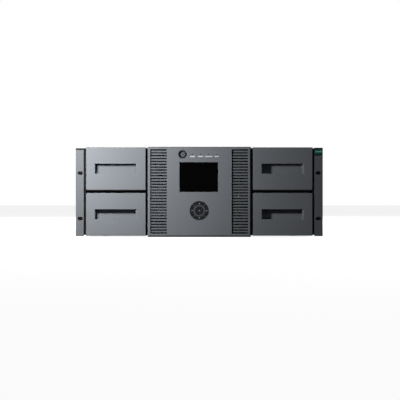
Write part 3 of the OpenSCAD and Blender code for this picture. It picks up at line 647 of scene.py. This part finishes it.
class LIBRARY_OT_controls(bpy.types.Operator):
    """Rounds the keys and button, and adds their dots, marks and label strips"""

    bl_idname = "library.controls"
    bl_label = "Controls"

    def execute(self, context):
        for key, end in KEY_ENDS.items():
            softened(key, 0.4 * MM)
            self.key_dot(key, end)
        softened("power_button", 0.5 * MM, look="ear")
        softened("keypad_surround", 0.35 * MM)
        self.power_mark()
        self.badge_band()
        self.status_labels()
        return {"FINISHED"}

    def key_dot(self, key, end):
        """A pale dot near the key's outer end, or in the middle of the centre key."""
        inward, proud, sunk = 4 * MM, 0.08 * MM, 0.2 * MM
        low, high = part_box(key)
        centre = (low + high) / 2
        if end:
            axis, side = end
            centre[axis] = (high if side > 0 else low)[axis] - side * inward
        dot = drum(key + "_dot", trim().dot_radius, (centre.x, low.y - proud, centre.z),
                   (centre.x, low.y + sunk, centre.z), 20, edge=0.06 * MM)
        dress(dot, key, "key_plastic", "key_print")

    def power_mark(self):
        """A ring and a stroke on the power button, and a dark ring of painted shade in the dish round
        its opening.
        """
        ring_radius, line, stroke_height, lift = 1.7 * MM, 0.22 * MM, 2.2 * MM, 0.1 * MM
        rim_radius, rim_wire, rim_depth = 6.1 * MM, 1.15 * MM, 2.9 * MM
        low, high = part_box("power_button")
        centre = (low + high) / 2
        ring = hoop("power_ring", ring_radius, line, (centre.x, low.y, centre.z))
        stroke = block("power_stroke", (centre.x - line, low.y - lift, centre.z),
                       (centre.x + line, low.y + lift, centre.z + stroke_height))
        dress(joined("power_mark", [ring, stroke]), "power_button", "key_plastic", "plug")
        # A near-black ring on the dish's floor round the button: painted shade.
        surround = hoop("power_surround", rim_radius, rim_wire,
                        (centre.x, BEZEL_FACE + rim_depth, centre.z))
        dress(surround, "chassis", "key_plastic", "plug")

    def badge_band(self):
        side, half = 2 * MM, 1.6 * MM
        low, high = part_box("badge_plate")
        middle = (low.z + high.z) / 2
        band = block("badge_band", (low.x + side, low.y - PRINT_PROUD, middle - half),
                     (high.x - side, low.y + PRINT_SUNK, middle + half), edge=PRINT_EDGE)
        dress(band, "chassis", "badge", "badge_band")

    def status_labels(self):
        """A pale strip below each status light."""
        size = trim()
        low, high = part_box("light_lenses")
        radius = (high.z - low.z) / 2
        first = low.x + radius
        pitch = (high.x - low.x - 2 * radius) / 3
        middle = (low.z + high.z) / 2 - size.print_drop
        half = size.print_height / 2
        strips = []
        for index, width in enumerate(LABEL_WIDTHS):
            x = first + index * pitch
            strips.append(block("strip", (x - width / 2, BEZEL_FACE - PRINT_PROUD, middle - half),
                                (x + width / 2, BEZEL_FACE + PRINT_SUNK, middle + half),
                                edge=PRINT_EDGE))
        dress(joined("status_labels", strips), "chassis", "graphite", "print")


class LIBRARY_OT_sheet_metal(bpy.types.Operator):
    """Breaks the edges of the sheet metal, and adds beads, hems and screws"""

    bl_idname = "library.sheet_metal"
    bl_label = "Sheet metal"

    def execute(self, context):
        soften_sheet("base_pan", "top_cover", "side_panels", "front_frame", "rear_panel",
                     "drive_cage", "magazine_shelves", "blank_covers", "controller_plate",
                     "magazine_locks", "rubber_feet")
        self.cover_beads()
        self.cover_screws()
        self.ear_screws()
        self.rear_screws()
        return {"FINISHED"}

    def cover_beads(self):
        """Pressed beads that stiffen the cover, and a hem along each long edge."""
        bead_pitch, half, end_gap, rise, root = 72.5 * MM, 7 * MM, 70 * MM, 0.9 * MM, 0.3 * MM
        hem_width, hem_rise, hem_root, hem_start = 15 * MM, 0.4 * MM, 0.1 * MM, 4 * MM
        low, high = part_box("top_cover")
        parts = []
        for k in range(-2, 3):
            x = k * bead_pitch
            bead = block("bead", (x - half, low.y + end_gap, high.z - root),
                         (x + half, high.y - end_gap, high.z + rise))
            round_edges_along(bead, 2, half - 0.1 * MM, 8)
            round_edges(bead, 0.8 * MM, 3, 60)
            parts.append(bead)
        for side in (-1, 1):
            outer = side * (high.x - 0.2 * MM)
            inner = side * (high.x - hem_width)
            parts.append(block("hem", (min(outer, inner), low.y + hem_start, high.z - hem_root),
                               (max(outer, inner), high.y - 0.3 * MM, high.z + hem_rise),
                               edge=0.35 * MM))
        dress(joined("cover_beads", parts), "chassis", "black_steel")

    def cover_screws(self):
        low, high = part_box("cover_screws")
        radius, sunk = 2.8 * MM, 0.3 * MM
        step = (high.y - low.y - 2 * radius) / 3
        spots = [((x, low.y + radius + k * step, low.z + sunk), FACING["+z"])
                 for x in (low.x + radius, high.x - radius) for k in range(4)]
        heads = scattered(screw_head(*HEADS["cover"]), "cover_screw_heads", spots)
        dress(heads, "chassis", "zinc_steel")
        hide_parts("cover_screws")

    def ear_screws(self):
        """Three screws that hold each ear to its side panel."""
        lowest, pitch, ahead, flange = 30 * MM, 58 * MM, 14.1 * MM, 15.1 * MM
        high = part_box("rack_ears")[1]
        reach = high.x - flange
        spots = []
        for k in range(3):
            for side, facing in ((1, "+x"), (-1, "-x")):
                spots.append(((side * reach, high.y - ahead, lowest + k * pitch), FACING[facing]))
        heads = scattered(screw_head(*HEADS["ear"]), "ear_screw_heads", spots)
        dress(heads, "chassis", "zinc_steel", "black_steel")

    def rear_screws(self):
        """Screws of the controller, the power supplies and the rear panel."""
        low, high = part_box("controller_plate")
        corner, supply_side, supply_levels = 4 * MM, 2.6 * MM, (11 * MM, 45 * MM)
        spots = [((x, REAR_FACE, z), FACING["+y"])
                 for x in (low.x + corner, high.x - corner)
                 for z in (low.z + corner, high.z - corner)]
        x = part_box("power_supplies")[1].x - supply_side
        spots += [((x, REAR_FACE, z + k * SUPPLY_PITCH), FACING["+y"])
                  for k in (0, 1) for z in supply_levels]
        low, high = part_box("rear_panel")
        side, edge, inner = 6 * MM, 3.6 * MM, 102 * MM
        spots += [((x, high.y, z), FACING["+y"])
                  for x in (low.x + side, -inner, inner, high.x - side)
                  for z in (low.z + edge, high.z - edge)]
        heads = scattered(screw_head(*HEADS["rear"]), "rear_screw_heads", spots)
        dress(heads, "chassis", "zinc_steel")


class LIBRARY_OT_rear(bpy.types.Operator):
    """Builds the rear's fan guards, thumbscrews, contacts, pins and lamps"""

    bl_idname = "library.rear"
    bl_label = "Rear"

    def execute(self, context):
        soften_sheet("drive_sleds", "power_supplies", "power_inlets", "drive_sockets",
                     "data_sockets", "lower_fan_rotor", "upper_fan_rotor")
        for level in LEVELS:
            self.fan_guard(level)
        self.thumbscrews()
        for name in ("network_socket_1", "network_socket_2", "lower_service_port",
                     "upper_service_port"):
            self.sprung_contacts(name)
        self.link_lamps()
        for name in ("bus_socket_1", "bus_socket_2"):
            self.bus_contacts(name)
        self.serial_pins()
        self.serial_shell()
        for level in LEVELS:
            for port in ("a", "b"):
                self.drive_port(level + "_data_port_" + port)
        self.inlet_pins()
        self.lamps()
        return {"FINISHED"}

    def fan_guard(self, level):
        """Rings on four spokes, each with an eyelet and a screw at its end."""
        spoke_start, spoke_end, eye_reach, eye_ring = 3.2 * MM, 18.6 * MM, 20.6 * MM, 1.9 * MM
        wire = trim().guard_wire
        low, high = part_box(level + "_fan_rotor")
        middle = (low + high) / 2
        centre = Vector((middle.x, REAR_FACE + wire, middle.z))
        behind = Vector((0, wire * 0.9, 0))
        parts = [hoop("ring", radius, wire, centre) for radius in GUARD_RINGS]
        heads = []
        for turn in range(4):
            angle = math.radians(45 + 90 * turn)
            way = Vector((math.cos(angle), 0, math.sin(angle)))
            parts.append(drum("spoke", wire, centre + way * spoke_start + behind,
                              centre + way * spoke_end + behind, 10, edge=wire * 0.6))
            eye = centre + way * eye_reach
            parts.append(hoop("eyelet", eye_ring, wire * 0.9, eye))
            heads.append(((eye.x, REAR_FACE, eye.z), FACING["+y"]))
        dress(joined(level + "_fan_guard", parts), "chassis", "zinc_steel", "ground_steel")
        screws = scattered(screw_head(*HEADS["fan"]), level + "_fan_screws", heads)
        dress(screws, "chassis", "zinc_steel")

    def thumbscrews(self):
        """Four on each side, at the middle height of each drive bay."""
        radius, seam, side, lap = 3.9 * MM, 0.6 * MM, 5 * MM, 0.2 * MM
        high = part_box("blank_covers")[1]
        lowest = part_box("drive_sleds")[0].z
        bay = (high.z - lowest + seam) / 4
        across = high.x - side
        spots = [((x, REAR_FACE, lowest + (k + 0.5) * bay), FACING["+y"])
                 for x in (-across, across) for k in range(4)]
        knobs = scattered(thumbscrew(radius, high.y - REAR_FACE + lap), "thumbscrews", spots)
        dress(knobs, "chassis", "zinc_steel", "ground_steel")

    def sprung_contacts(self, name):
        """A row of sprung contacts that slope down from the roof of a socket."""
        count, pitch, drop = 8, 1.02 * MM, 2.6 * MM
        half, thick, roof_gap, root, mouth_gap = 0.2 * MM, 0.35 * MM, 0.35 * MM, 0.4 * MM, 3 * MM
        low, high = HOLLOWS[name]
        first = (low.x + high.x) / 2 - (count - 1) * pitch / 2
        wire = block("contact", (first - half, low.y + root, high.z - roof_gap - thick),
                     (first + half, high.y - mouth_gap, high.z - roof_gap))
        picked(wire, lambda face: face.normal.y < -0.9)
        bpy.ops.transform.translate(value=(0, 0, -drop))
        bpy.ops.object.mode_set(mode="OBJECT")
        round_edges(wire, 0.08 * MM, 1)
        repeated(wire, count, pitch)
        wire.name = name + "_contacts"
        dress(wire, "chassis", "drive_metal", "contact")

    def link_lamps(self):
        """Two small windows above each network socket."""
        half, above, height, sunk, proud = 1.2 * MM, 0.35 * MM, 1.2 * MM, 0.2 * MM, 0.25 * MM
        windows = []
        for name in ("network_socket_1", "network_socket_2"):
            low, high = HOLLOWS[name]
            for x in (low.x + half, high.x - half):
                windows.append(block(
                    "window", (x - half, REAR_FACE - sunk, high.z + above),
                    (x + half, REAR_FACE + proud, high.z + above + height), edge=0.2 * MM))
        dress(joined("link_lamps", windows), "chassis", "lens", "signal")

    def bus_contacts(self, name):
        """A plated liner, and a tongue with four flat contacts under it."""
        tongue_half, tongue_side, tongue_back = 0.7 * MM, 0.9 * MM, 2 * MM
        contact_wide, pitch, contact_side, contact_back = 1.0 * MM, 2.2 * MM, 1.7 * MM, 3 * MM
        low, high = HOLLOWS[name]
        liner = sleeve(name + "_liner", low, (high.x, REAR_FACE + 0.3 * MM, high.z), 0.28 * MM)
        dress(liner, "chassis", "drive_metal", "pin")
        middle = (low.z + high.z) / 2 + tongue_half
        tongue = block(name + "_tongue", (low.x + tongue_side, low.y, middle - tongue_half),
                       (high.x - tongue_side, REAR_FACE - tongue_back, middle + tongue_half),
                       edge=0.25 * MM)
        dress(tongue, "chassis", "dark_plastic", "print")
        first = low.x + contact_side
        strip = block(name + "_contacts", (first, low.y + 1 * MM, middle - 0.82 * MM),
                      (first + contact_wide, REAR_FACE - contact_back, middle - 0.6 * MM),
                      edge=0.08 * MM, segments=1)
        repeated(strip, 4, pitch)
        dress(strip, "chassis", "drive_metal", "contact")

    def serial_pins(self):
        """Nine pins, in a row of five above a row of four."""
        pitch, row_half, length = 2.77 * MM, 1.3 * MM, 6.4 * MM
        low, high = HOLLOWS["serial_socket"]
        middle = (low + high) / 2
        pins = []
        for count, side in ((5, 1), (4, -1)):
            for k in range(count):
                x = middle.x + (k - (count - 1) / 2) * pitch
                z = middle.z + side * row_half
                pins.append(drum("pin", 0.5 * MM, (x, low.y, z), (x, low.y + length, z), 12,
                                 edge=0.2 * MM))
        dress(joined("serial_pins", pins), "chassis", "drive_metal", "contact")

    def serial_shell(self):
        """The plated shell round the serial socket, and the two jack nuts beside it."""
        rim, nut_gap, nut_height, bore_deep = 3.1 * MM, 5.2 * MM, 5 * MM, 3 * MM
        low, high = HOLLOWS["serial_socket"]
        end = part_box("data_sockets")[1].y
        shell = sleeve("serial_shell", (low.x - rim, REAR_FACE, low.z - rim),
                       (high.x + rim, end + 0.3 * MM, high.z + rim), 0.45 * MM)
        dress(shell, "chassis", "drive_metal", "pin")
        z = (low.z + high.z) / 2
        nuts = []
        for x in (low.x - nut_gap, high.x + nut_gap):
            nut = drum("nut", 2.7 * MM, (x, REAR_FACE, z), (x, REAR_FACE + nut_height, z), 6)
            picked(nut, lambda face: face.normal.y > 0.9)
            bpy.ops.mesh.inset(thickness=1.1 * MM)
            bpy.ops.mesh.extrude_region_move(TRANSFORM_OT_translate={"value": (0, -bore_deep, 0)})
            bpy.ops.object.mode_set(mode="OBJECT")
            round_edges(nut, 0.2 * MM, 1)
            nuts.append(nut)
        dress(joined("serial_jack_nuts", nuts), "chassis", "zinc_steel", "pin")

    def drive_port(self, name):
        """The card edge, its contacts and the plated cage of a drive's data port."""
        card_half, card_side, card_back, lap = 0.6 * MM, 2 * MM, 2.5 * MM, 0.2 * MM
        contact_wide, pitch, contact_side, contact_back = 0.6 * MM, 1.27 * MM, 2.8 * MM, 3 * MM
        low, high = HOLLOWS[name]
        middle = (low.z + high.z) / 2
        blade = block(name + "_blade", (low.x + card_side, low.y, middle - card_half),
                      (high.x - card_side, REAR_FACE - card_back, middle + card_half),
                      edge=0.2 * MM)
        dress(blade, "chassis", "dark_plastic", "board")
        first = low.x + contact_side
        strip = block(name + "_contacts", (first, low.y + 2 * MM, middle + 0.55 * MM),
                      (first + contact_wide, REAR_FACE - contact_back, middle + 0.72 * MM),
                      edge=0.06 * MM, segments=1)
        repeated(strip, 13, pitch)
        dress(strip, "chassis", "drive_metal", "contact")
        cage = sleeve(name + "_cage", (low.x - lap, low.y, low.z - lap),
                      (high.x + lap, REAR_FACE + 0.4 * MM, high.z + lap), 0.3 * MM)
        dress(cage, "chassis", "drive_metal", "pin")

    def inlet_pins(self):
        """Three flat pins in each power inlet, with the middle one longer."""
        half_wide, half_tall, root, pitch, up = 1.06 * MM, 2.06 * MM, 2.9 * MM, 7 * MM, 12 * MM
        low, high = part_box("power_inlets")
        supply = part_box("power_supplies")
        step = (supply[1].z - supply[0].z) / 2
        middle = (low.x + high.x) / 2
        parts = []
        for level in (0, 1):
            z = low.z + up + level * step
            for side, reach in ((-1, 15.2 * MM), (0, 16.4 * MM), (1, 15.2 * MM)):
                x = middle + side * pitch
                parts.append(block("pin", (x - half_wide, low.y + root, z - half_tall),
                                   (x + half_wide, low.y + root + reach, z + half_tall),
                                   edge=0.5 * MM, segments=3))
        dress(joined("inlet_pins", parts), "chassis", "drive_metal", "pin")

    def lamps(self):
        """Status lamps on the supplies, drives and controller."""
        radius, sunk, proud = 1.25 * MM, 0.4 * MM, 0.9 * MM
        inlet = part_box("power_inlets")[0]
        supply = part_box("power_supplies")
        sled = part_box("drive_sleds")[0]
        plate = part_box("controller_plate")[0]
        step = (supply[1].z - supply[0].z) / 2
        spots = [(inlet.x + 4 * MM, inlet.z + 29.5 * MM + k * step) for k in (0, 1)]
        spots += [(-2 * MM, sled.z + k * DRIVE_PITCH + up)
                  for k in (0, 1) for up in (17 * MM, 24 * MM)]
        spots += [(plate.x + (53 + 8 * k) * MM, plate.z + 41 * MM) for k in range(3)]
        parts = [drum("lens", radius, (x, REAR_FACE - sunk, z), (x, REAR_FACE + proud, z), 20,
                      edge=0.5 * MM, segments=3) for x, z in spots]
        dress(joined("rear_lamps", parts), "chassis", "lens", "signal")


class LIBRARY_OT_magazines(bpy.types.Operator):
    """Softens the trays and fills them with detailed cartridges"""

    bl_idname = "library.magazines"
    bl_label = "Magazines"

    def execute(self, context):
        for name in MAGAZINES:
            soften_sheet(name + "_tray")
            self.fill(name)
        return {"FINISHED"}

    def fill(self, name):
        """Cartridges in columns of three, with their labels away from the middle of the unit."""
        low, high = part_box(name + "_cartridges")
        columns = round((high.y - low.y - CARTRIDGE.y) / COLUMN_PITCH) + 1
        left = high.x < 0
        spots = []
        for column in range(columns):
            for row in range(3):
                y = low.y + column * COLUMN_PITCH
                z = low.z + row * ROW_PITCH
                if left:
                    spots.append(((high.x, y + CARTRIDGE.y, z), (0, 0, math.pi)))
                else:
                    spots.append(((low.x, y, z), (0, 0, 0)))
        shells = scattered(self.shell(), name + "_cartridge_shells", spots)
        dress(shells, name + "_magazine", "cartridge_plastic")
        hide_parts(name + "_cartridges")
        labels = scattered(self.label(), name + "_cartridge_labels", spots)
        dress(labels, name + "_magazine", "cartridge_plastic", "label")
        bands = scattered(self.bands(), name + "_cartridge_bands", spots)
        dress(bands, name + "_magazine", "cartridge_plastic", "band")

    def shell(self):
        """The cartridge's shell: label recess, side grips, lid panels and grip ribs."""
        rib_pitch, rib_wide, rib_end = 9 * MM, 2 * MM, 6.5 * MM
        first_rib = CARTRIDGE.x * 0.30
        shell = block("shell", (0, 0, 0), CARTRIDGE)
        inset(shell, lambda face: face.normal.x < -0.9, (3 * MM, 0), (0.3 * MM, -0.6 * MM))
        for way in (-1, 1):
            inset(shell, lambda face: face.normal.y * way > 0.9, (5 * MM, 0), (0.5 * MM, -0.7 * MM))
        inset(shell, lambda face: abs(face.normal.z) > 0.9, (9 * MM, 0), (0.4 * MM, -0.3 * MM),
              each=True)
        round_edges(shell, 0.5 * MM)
        parts = [shell]
        for k in range(5):
            x = first_rib + k * rib_pitch
            parts.append(block("rib", (x, 0.1 * MM, rib_end),
                               (x + rib_wide, 1.2 * MM, CARTRIDGE.z - rib_end), edge=0.4 * MM))
        return joined("shell", parts)

    def label(self):
        """The paper label in the recess of the cartridge's end."""
        side, margin = 13 * MM, 4.2 * MM
        return block("label", (0.42 * MM, side, margin),
                     (0.66 * MM, CARTRIDGE.y - side, CARTRIDGE.z - margin),
                     edge=0.08 * MM, segments=1)

    def bands(self):
        """A plain colour band along the label, and the write-protect slider beside it."""
        side = 13.6 * MM
        band = block("band", (0.34 * MM, side, CARTRIDGE.z - 8.2 * MM),
                     (0.5 * MM, CARTRIDGE.y - side, CARTRIDGE.z - 5 * MM),
                     edge=PRINT_EDGE, segments=1)
        slider = block("slider", (0.1 * MM, CARTRIDGE.y - 10 * MM, 6.5 * MM),
                       (0.8 * MM, CARTRIDGE.y - 5.5 * MM, 12 * MM))
        inset(slider, lambda face: face.normal.x < -0.9, (1.0 * MM, -0.3 * MM))
        round_edges(slider, 0.15 * MM, 1)
        return joined("bands", [band, slider])


class LIBRARY_OT_robot(bpy.types.Operator):
    """Softens the robot's parts, and adds threads, motor ends, reader hood and drive surrounds"""

    bl_idname = "library.robot"
    bl_label = "Robot"

    def execute(self, context):
        soften_sheet("robot_base", "lift_frame", "lift_platform", "rod_supports", "picker",
                     "gripper", "lift_motor", "travel_motor", "swing_motor", "tape_drives")
        self.thread("travel_screw", 1)
        self.thread("lift_screw", 2)
        self.motor_ends()
        self.reader_hood()
        for level in LEVELS:
            self.drive_surround(level)
        self.board_parts()
        return {"FINISHED"}

    def thread(self, node, axis):
        low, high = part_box(node)
        start = (low + high) / 2
        end = start.copy()
        start[axis], end[axis] = low[axis], high[axis]
        screw = threaded(node.replace("screw", "thread"), (high.x - low.x) / 2, start, end,
                         THREAD_LEADS[node])
        dress(screw, node, "ground_steel")
        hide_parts(node)

    def motor_ends(self):
        """The lift motor's cap and hub, and the travel motor's cap and lead-out block."""
        sunk, proud = 0.2 * MM, 1.2 * MM
        low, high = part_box("lift_motor")
        x = (low.x + high.x) / 2
        y = low.y + 7 * MM
        cap = drum("lift_motor_cap", 5.2 * MM, (x, y, high.z - sunk), (x, y, high.z + proud), 28,
                   edge=0.4 * MM)
        hub = drum("lift_motor_hub", 1.8 * MM, (x, y, high.z), (x, y, high.z + 2.4 * MM), 20,
                   edge=0.3 * MM)
        dress(joined("lift_motor_end", [cap, hub]), "robot", "zinc_steel")
        low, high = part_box("travel_motor")
        x = low.x + 9.5 * MM
        z = low.z + 17.8 * MM
        cap = drum("travel_motor_cap", 8 * MM, (x, high.y - sunk, z), (x, high.y + proud, z), 28,
                   edge=0.4 * MM)
        lead = block("lead_block", (x - 3 * MM, high.y - 9 * MM, z + 8 * MM),
                     (x + 3 * MM, high.y - 3 * MM, z + 11 * MM), edge=0.6 * MM)
        dress(joined("travel_motor_end", [cap, lead]), "chassis", "zinc_steel")

    def reader_hood(self):
        """The label reader's hood on the picker's back wall."""
        half = 9 * MM
        low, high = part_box("picker")
        hood = block("reader_hood", (-half, low.y + 1.6 * MM, high.z - 9 * MM),
                     (half, low.y + 1.95 * MM, high.z - 3 * MM), edge=0.12 * MM)
        dress(hood, "picker", "dark_plastic", "chip")

    def drive_surround(self, level):
        """A moulded surround in the drive's mouth."""
        side, below, above, wall = 1.4 * MM, 0.3 * MM, 0.5 * MM, 0.5 * MM
        low, high = HOLLOWS[level + "_drive_mouth"]
        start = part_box("tape_drives")[0].y
        rim = sleeve(level + "_drive_surround", (low.x - side, start - 0.5 * MM, low.z - below),
                     (high.x + side, start + 4 * MM, high.z + above), wall)
        dress(rim, "chassis", "dark_plastic")

    def board_parts(self):
        """Chips and capacitors on the controller's board."""
        low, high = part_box("controller_board")
        top = high.z - 8 * MM
        root = top - 0.1 * MM
        chips = []
        for x, y, wide, long in ((16, 40, 14, 14), (40, 60, 22, 22), (18, 78, 10, 16),
                                 (56, 44, 10, 10), (60, 70, 8, 12)):
            chips.append(block("chip", (low.x + x * MM, low.y + y * MM, root),
                               (low.x + (x + wide) * MM, low.y + (y + long) * MM, top + 1.6 * MM),
                               edge=0.3 * MM, segments=1))
        for k in range(4):
            x = low.x + (12 + 9 * k) * MM
            y = low.y + 20 * MM
            chips.append(drum("can", 3 * MM, (x, y, root), (x, y, top + 9 * MM), 18,
                              edge=0.5 * MM))
        dress(joined("board_chips", chips), "chassis", "motor_black", "chip")


def light_seen(tree):
    """1 for camera, glossy and transmission rays, else 0."""
    path = tree.nodes.new("ShaderNodeLightPath")
    seen = path.outputs["Is Camera Ray"]
    for name in ("Is Glossy Ray", "Is Transmission Ray"):
        seen = maths(tree, "MAXIMUM", seen, path.outputs[name])
    return seen


def between(tree, share, low, high):
    """Runs from low to high while the share runs from 0 to 1."""
    node = tree.nodes.new("ShaderNodeMapRange")
    node.inputs["To Min"].default_value = low
    node.inputs["To Max"].default_value = high
    tree.links.new(share, node.inputs["Value"])
    return node.outputs["Result"]


def add_light(name, place, aim, size, power):
    """A rectangular light that the camera doesn't see."""
    data = bpy.data.lights.new(name, "AREA")
    data.shape = "RECTANGLE"
    data.size, data.size_y = size
    data.energy = power
    lamp = bpy.data.objects.new(name, data)
    lamp.location = place
    lamp.rotation_euler = (Vector(aim) - Vector(place)).to_track_quat("-Z", "Y").to_euler()
    lamp.visible_camera = False
    bpy.context.scene.collection.objects.link(lamp)


class LIBRARY_OT_stage(bpy.types.Operator):
    """Sets the pale floor, surroundings, lights and camera"""

    bl_idname = "library.stage"
    bl_label = "Stage"

    def execute(self, context):
        context.scene.view_settings.view_transform = "Standard"
        self.floor()
        self.surroundings()
        self.lights()
        self.camera()
        return {"FINISHED"}

    def floor(self):
        """Pale paper: it glows where it is seen, and throws little light on the unit."""
        below, glow, base_thrown, base_seen = 0.2 * MM, 0.87, 0.02, 0.5
        bpy.ops.object.select_all(action="DESELECT")
        bpy.ops.mesh.primitive_plane_add(size=30, location=(0, 0, -below))
        plane = settle("studio_floor")
        paper = bpy.data.materials.new("floor_paper")
        paper.use_nodes = True
        tree = paper.node_tree
        shader = tree.nodes["Principled BSDF"]
        shader.inputs["Roughness"].default_value = 0.9
        shader.inputs["Specular IOR Level"].default_value = 0.0
        shader.inputs["Emission Color"].default_value = (1, 1, 1, 1)
        seen = light_seen(tree)
        tree.links.new(maths(tree, "MULTIPLY", seen, glow), shader.inputs["Emission Strength"])
        tree.links.new(between(tree, seen, base_thrown, base_seen), shader.inputs["Base Color"])
        plane.data.materials.append(paper)

    def surroundings(self):
        """A white surround where it is seen, and a dim one for the light that it throws."""
        world = bpy.context.scene.world or bpy.data.worlds.new("studio")
        bpy.context.scene.world = world
        world.use_nodes = True
        tree = world.node_tree
        tree.nodes.clear()
        back = tree.nodes.new("ShaderNodeBackground")
        back.inputs["Color"].default_value = (1, 1, 1, 1)
        tree.links.new(between(tree, light_seen(tree), studio().sky, 1.0), back.inputs["Strength"])
        out = tree.nodes.new("ShaderNodeOutputWorld")
        tree.links.new(back.outputs[0], out.inputs["Surface"])

    def lights(self):
        """A small near light before the left magazines, and wide ones behind and beside."""
        key_x, key_z, key_gap = -0.30, 0.23, 0.34
        key_power, fill = studio().key_power, studio().fill_power
        add_light("key_light", (key_x, BEZEL_FACE - key_gap, key_z), (key_x, BEZEL_FACE, key_z),
                  (0.10, 0.07), key_power)
        add_light("front_light", (1.0, -3.2, 1.4), (0, BEZEL_FACE, 0.1), (1.0, 1.0), 2.5)
        add_light("rear_light", (-0.7, 2.0, 1.2), (0, 0.3, 0.1), (1.4, 1.4), fill)
        add_light("side_light", (1.6, 0.9, 1.1), (0, 0.1, 0.1), (1.2, 1.2), fill)

    def camera(self):
        setup = studio()
        data = bpy.data.cameras.new("camera")
        data.sensor_width = 36
        data.lens = data.sensor_width * setup.camera_distance / setup.view_width
        camera = bpy.data.objects.new("camera", data)
        camera.location = (setup.camera_side, BEZEL_FACE - setup.camera_distance, setup.camera_height)
        camera.rotation_euler = FACING["-y"]
        bpy.context.scene.collection.objects.link(camera)
        bpy.context.scene.camera = camera


class LIBRARY_PT_panel(bpy.types.Panel):
    """Lists the steps that dress the tape library"""

    bl_idname = "LIBRARY_PT_panel"
    bl_label = "Tape Library"
    bl_space_type = "VIEW_3D"
    bl_region_type = "UI"
    bl_category = "Tape Library"

    def draw(self, context):
        for group in (finishes(), trim(), studio()):
            for name in group.__annotations__:
                self.layout.prop(group, name)
        for step in STEPS:
            self.layout.operator(step.bl_idname)


STEPS = (
    LIBRARY_OT_stage,
    LIBRARY_OT_finishes,
    LIBRARY_OT_fronts,
    LIBRARY_OT_controls,
    LIBRARY_OT_sheet_metal,
    LIBRARY_OT_rear,
    LIBRARY_OT_magazines,
    LIBRARY_OT_robot,
)
CLASSES = (LibraryFinishes, LibraryTrim, LibraryStudio, *STEPS, LIBRARY_PT_panel)


def register():
    for item in CLASSES:
        bpy.utils.register_class(item)
    bpy.types.Scene.library_finishes = bpy.props.PointerProperty(type=LibraryFinishes)
    bpy.types.Scene.library_trim = bpy.props.PointerProperty(type=LibraryTrim)
    bpy.types.Scene.library_studio = bpy.props.PointerProperty(type=LibraryStudio)


def unregister():
    del bpy.types.Scene.library_studio
    del bpy.types.Scene.library_trim
    del bpy.types.Scene.library_finishes
    for item in reversed(CLASSES):
        bpy.utils.unregister_class(item)


def main():
    register()
    bpy.ops.library.stage()
    bpy.ops.library.finishes()
    bpy.ops.library.fronts()
    bpy.ops.library.controls()
    bpy.ops.library.sheet_metal()
    bpy.ops.library.rear()
    bpy.ops.library.magazines()
    bpy.ops.library.robot()


if __name__ == "__main__":
    main()
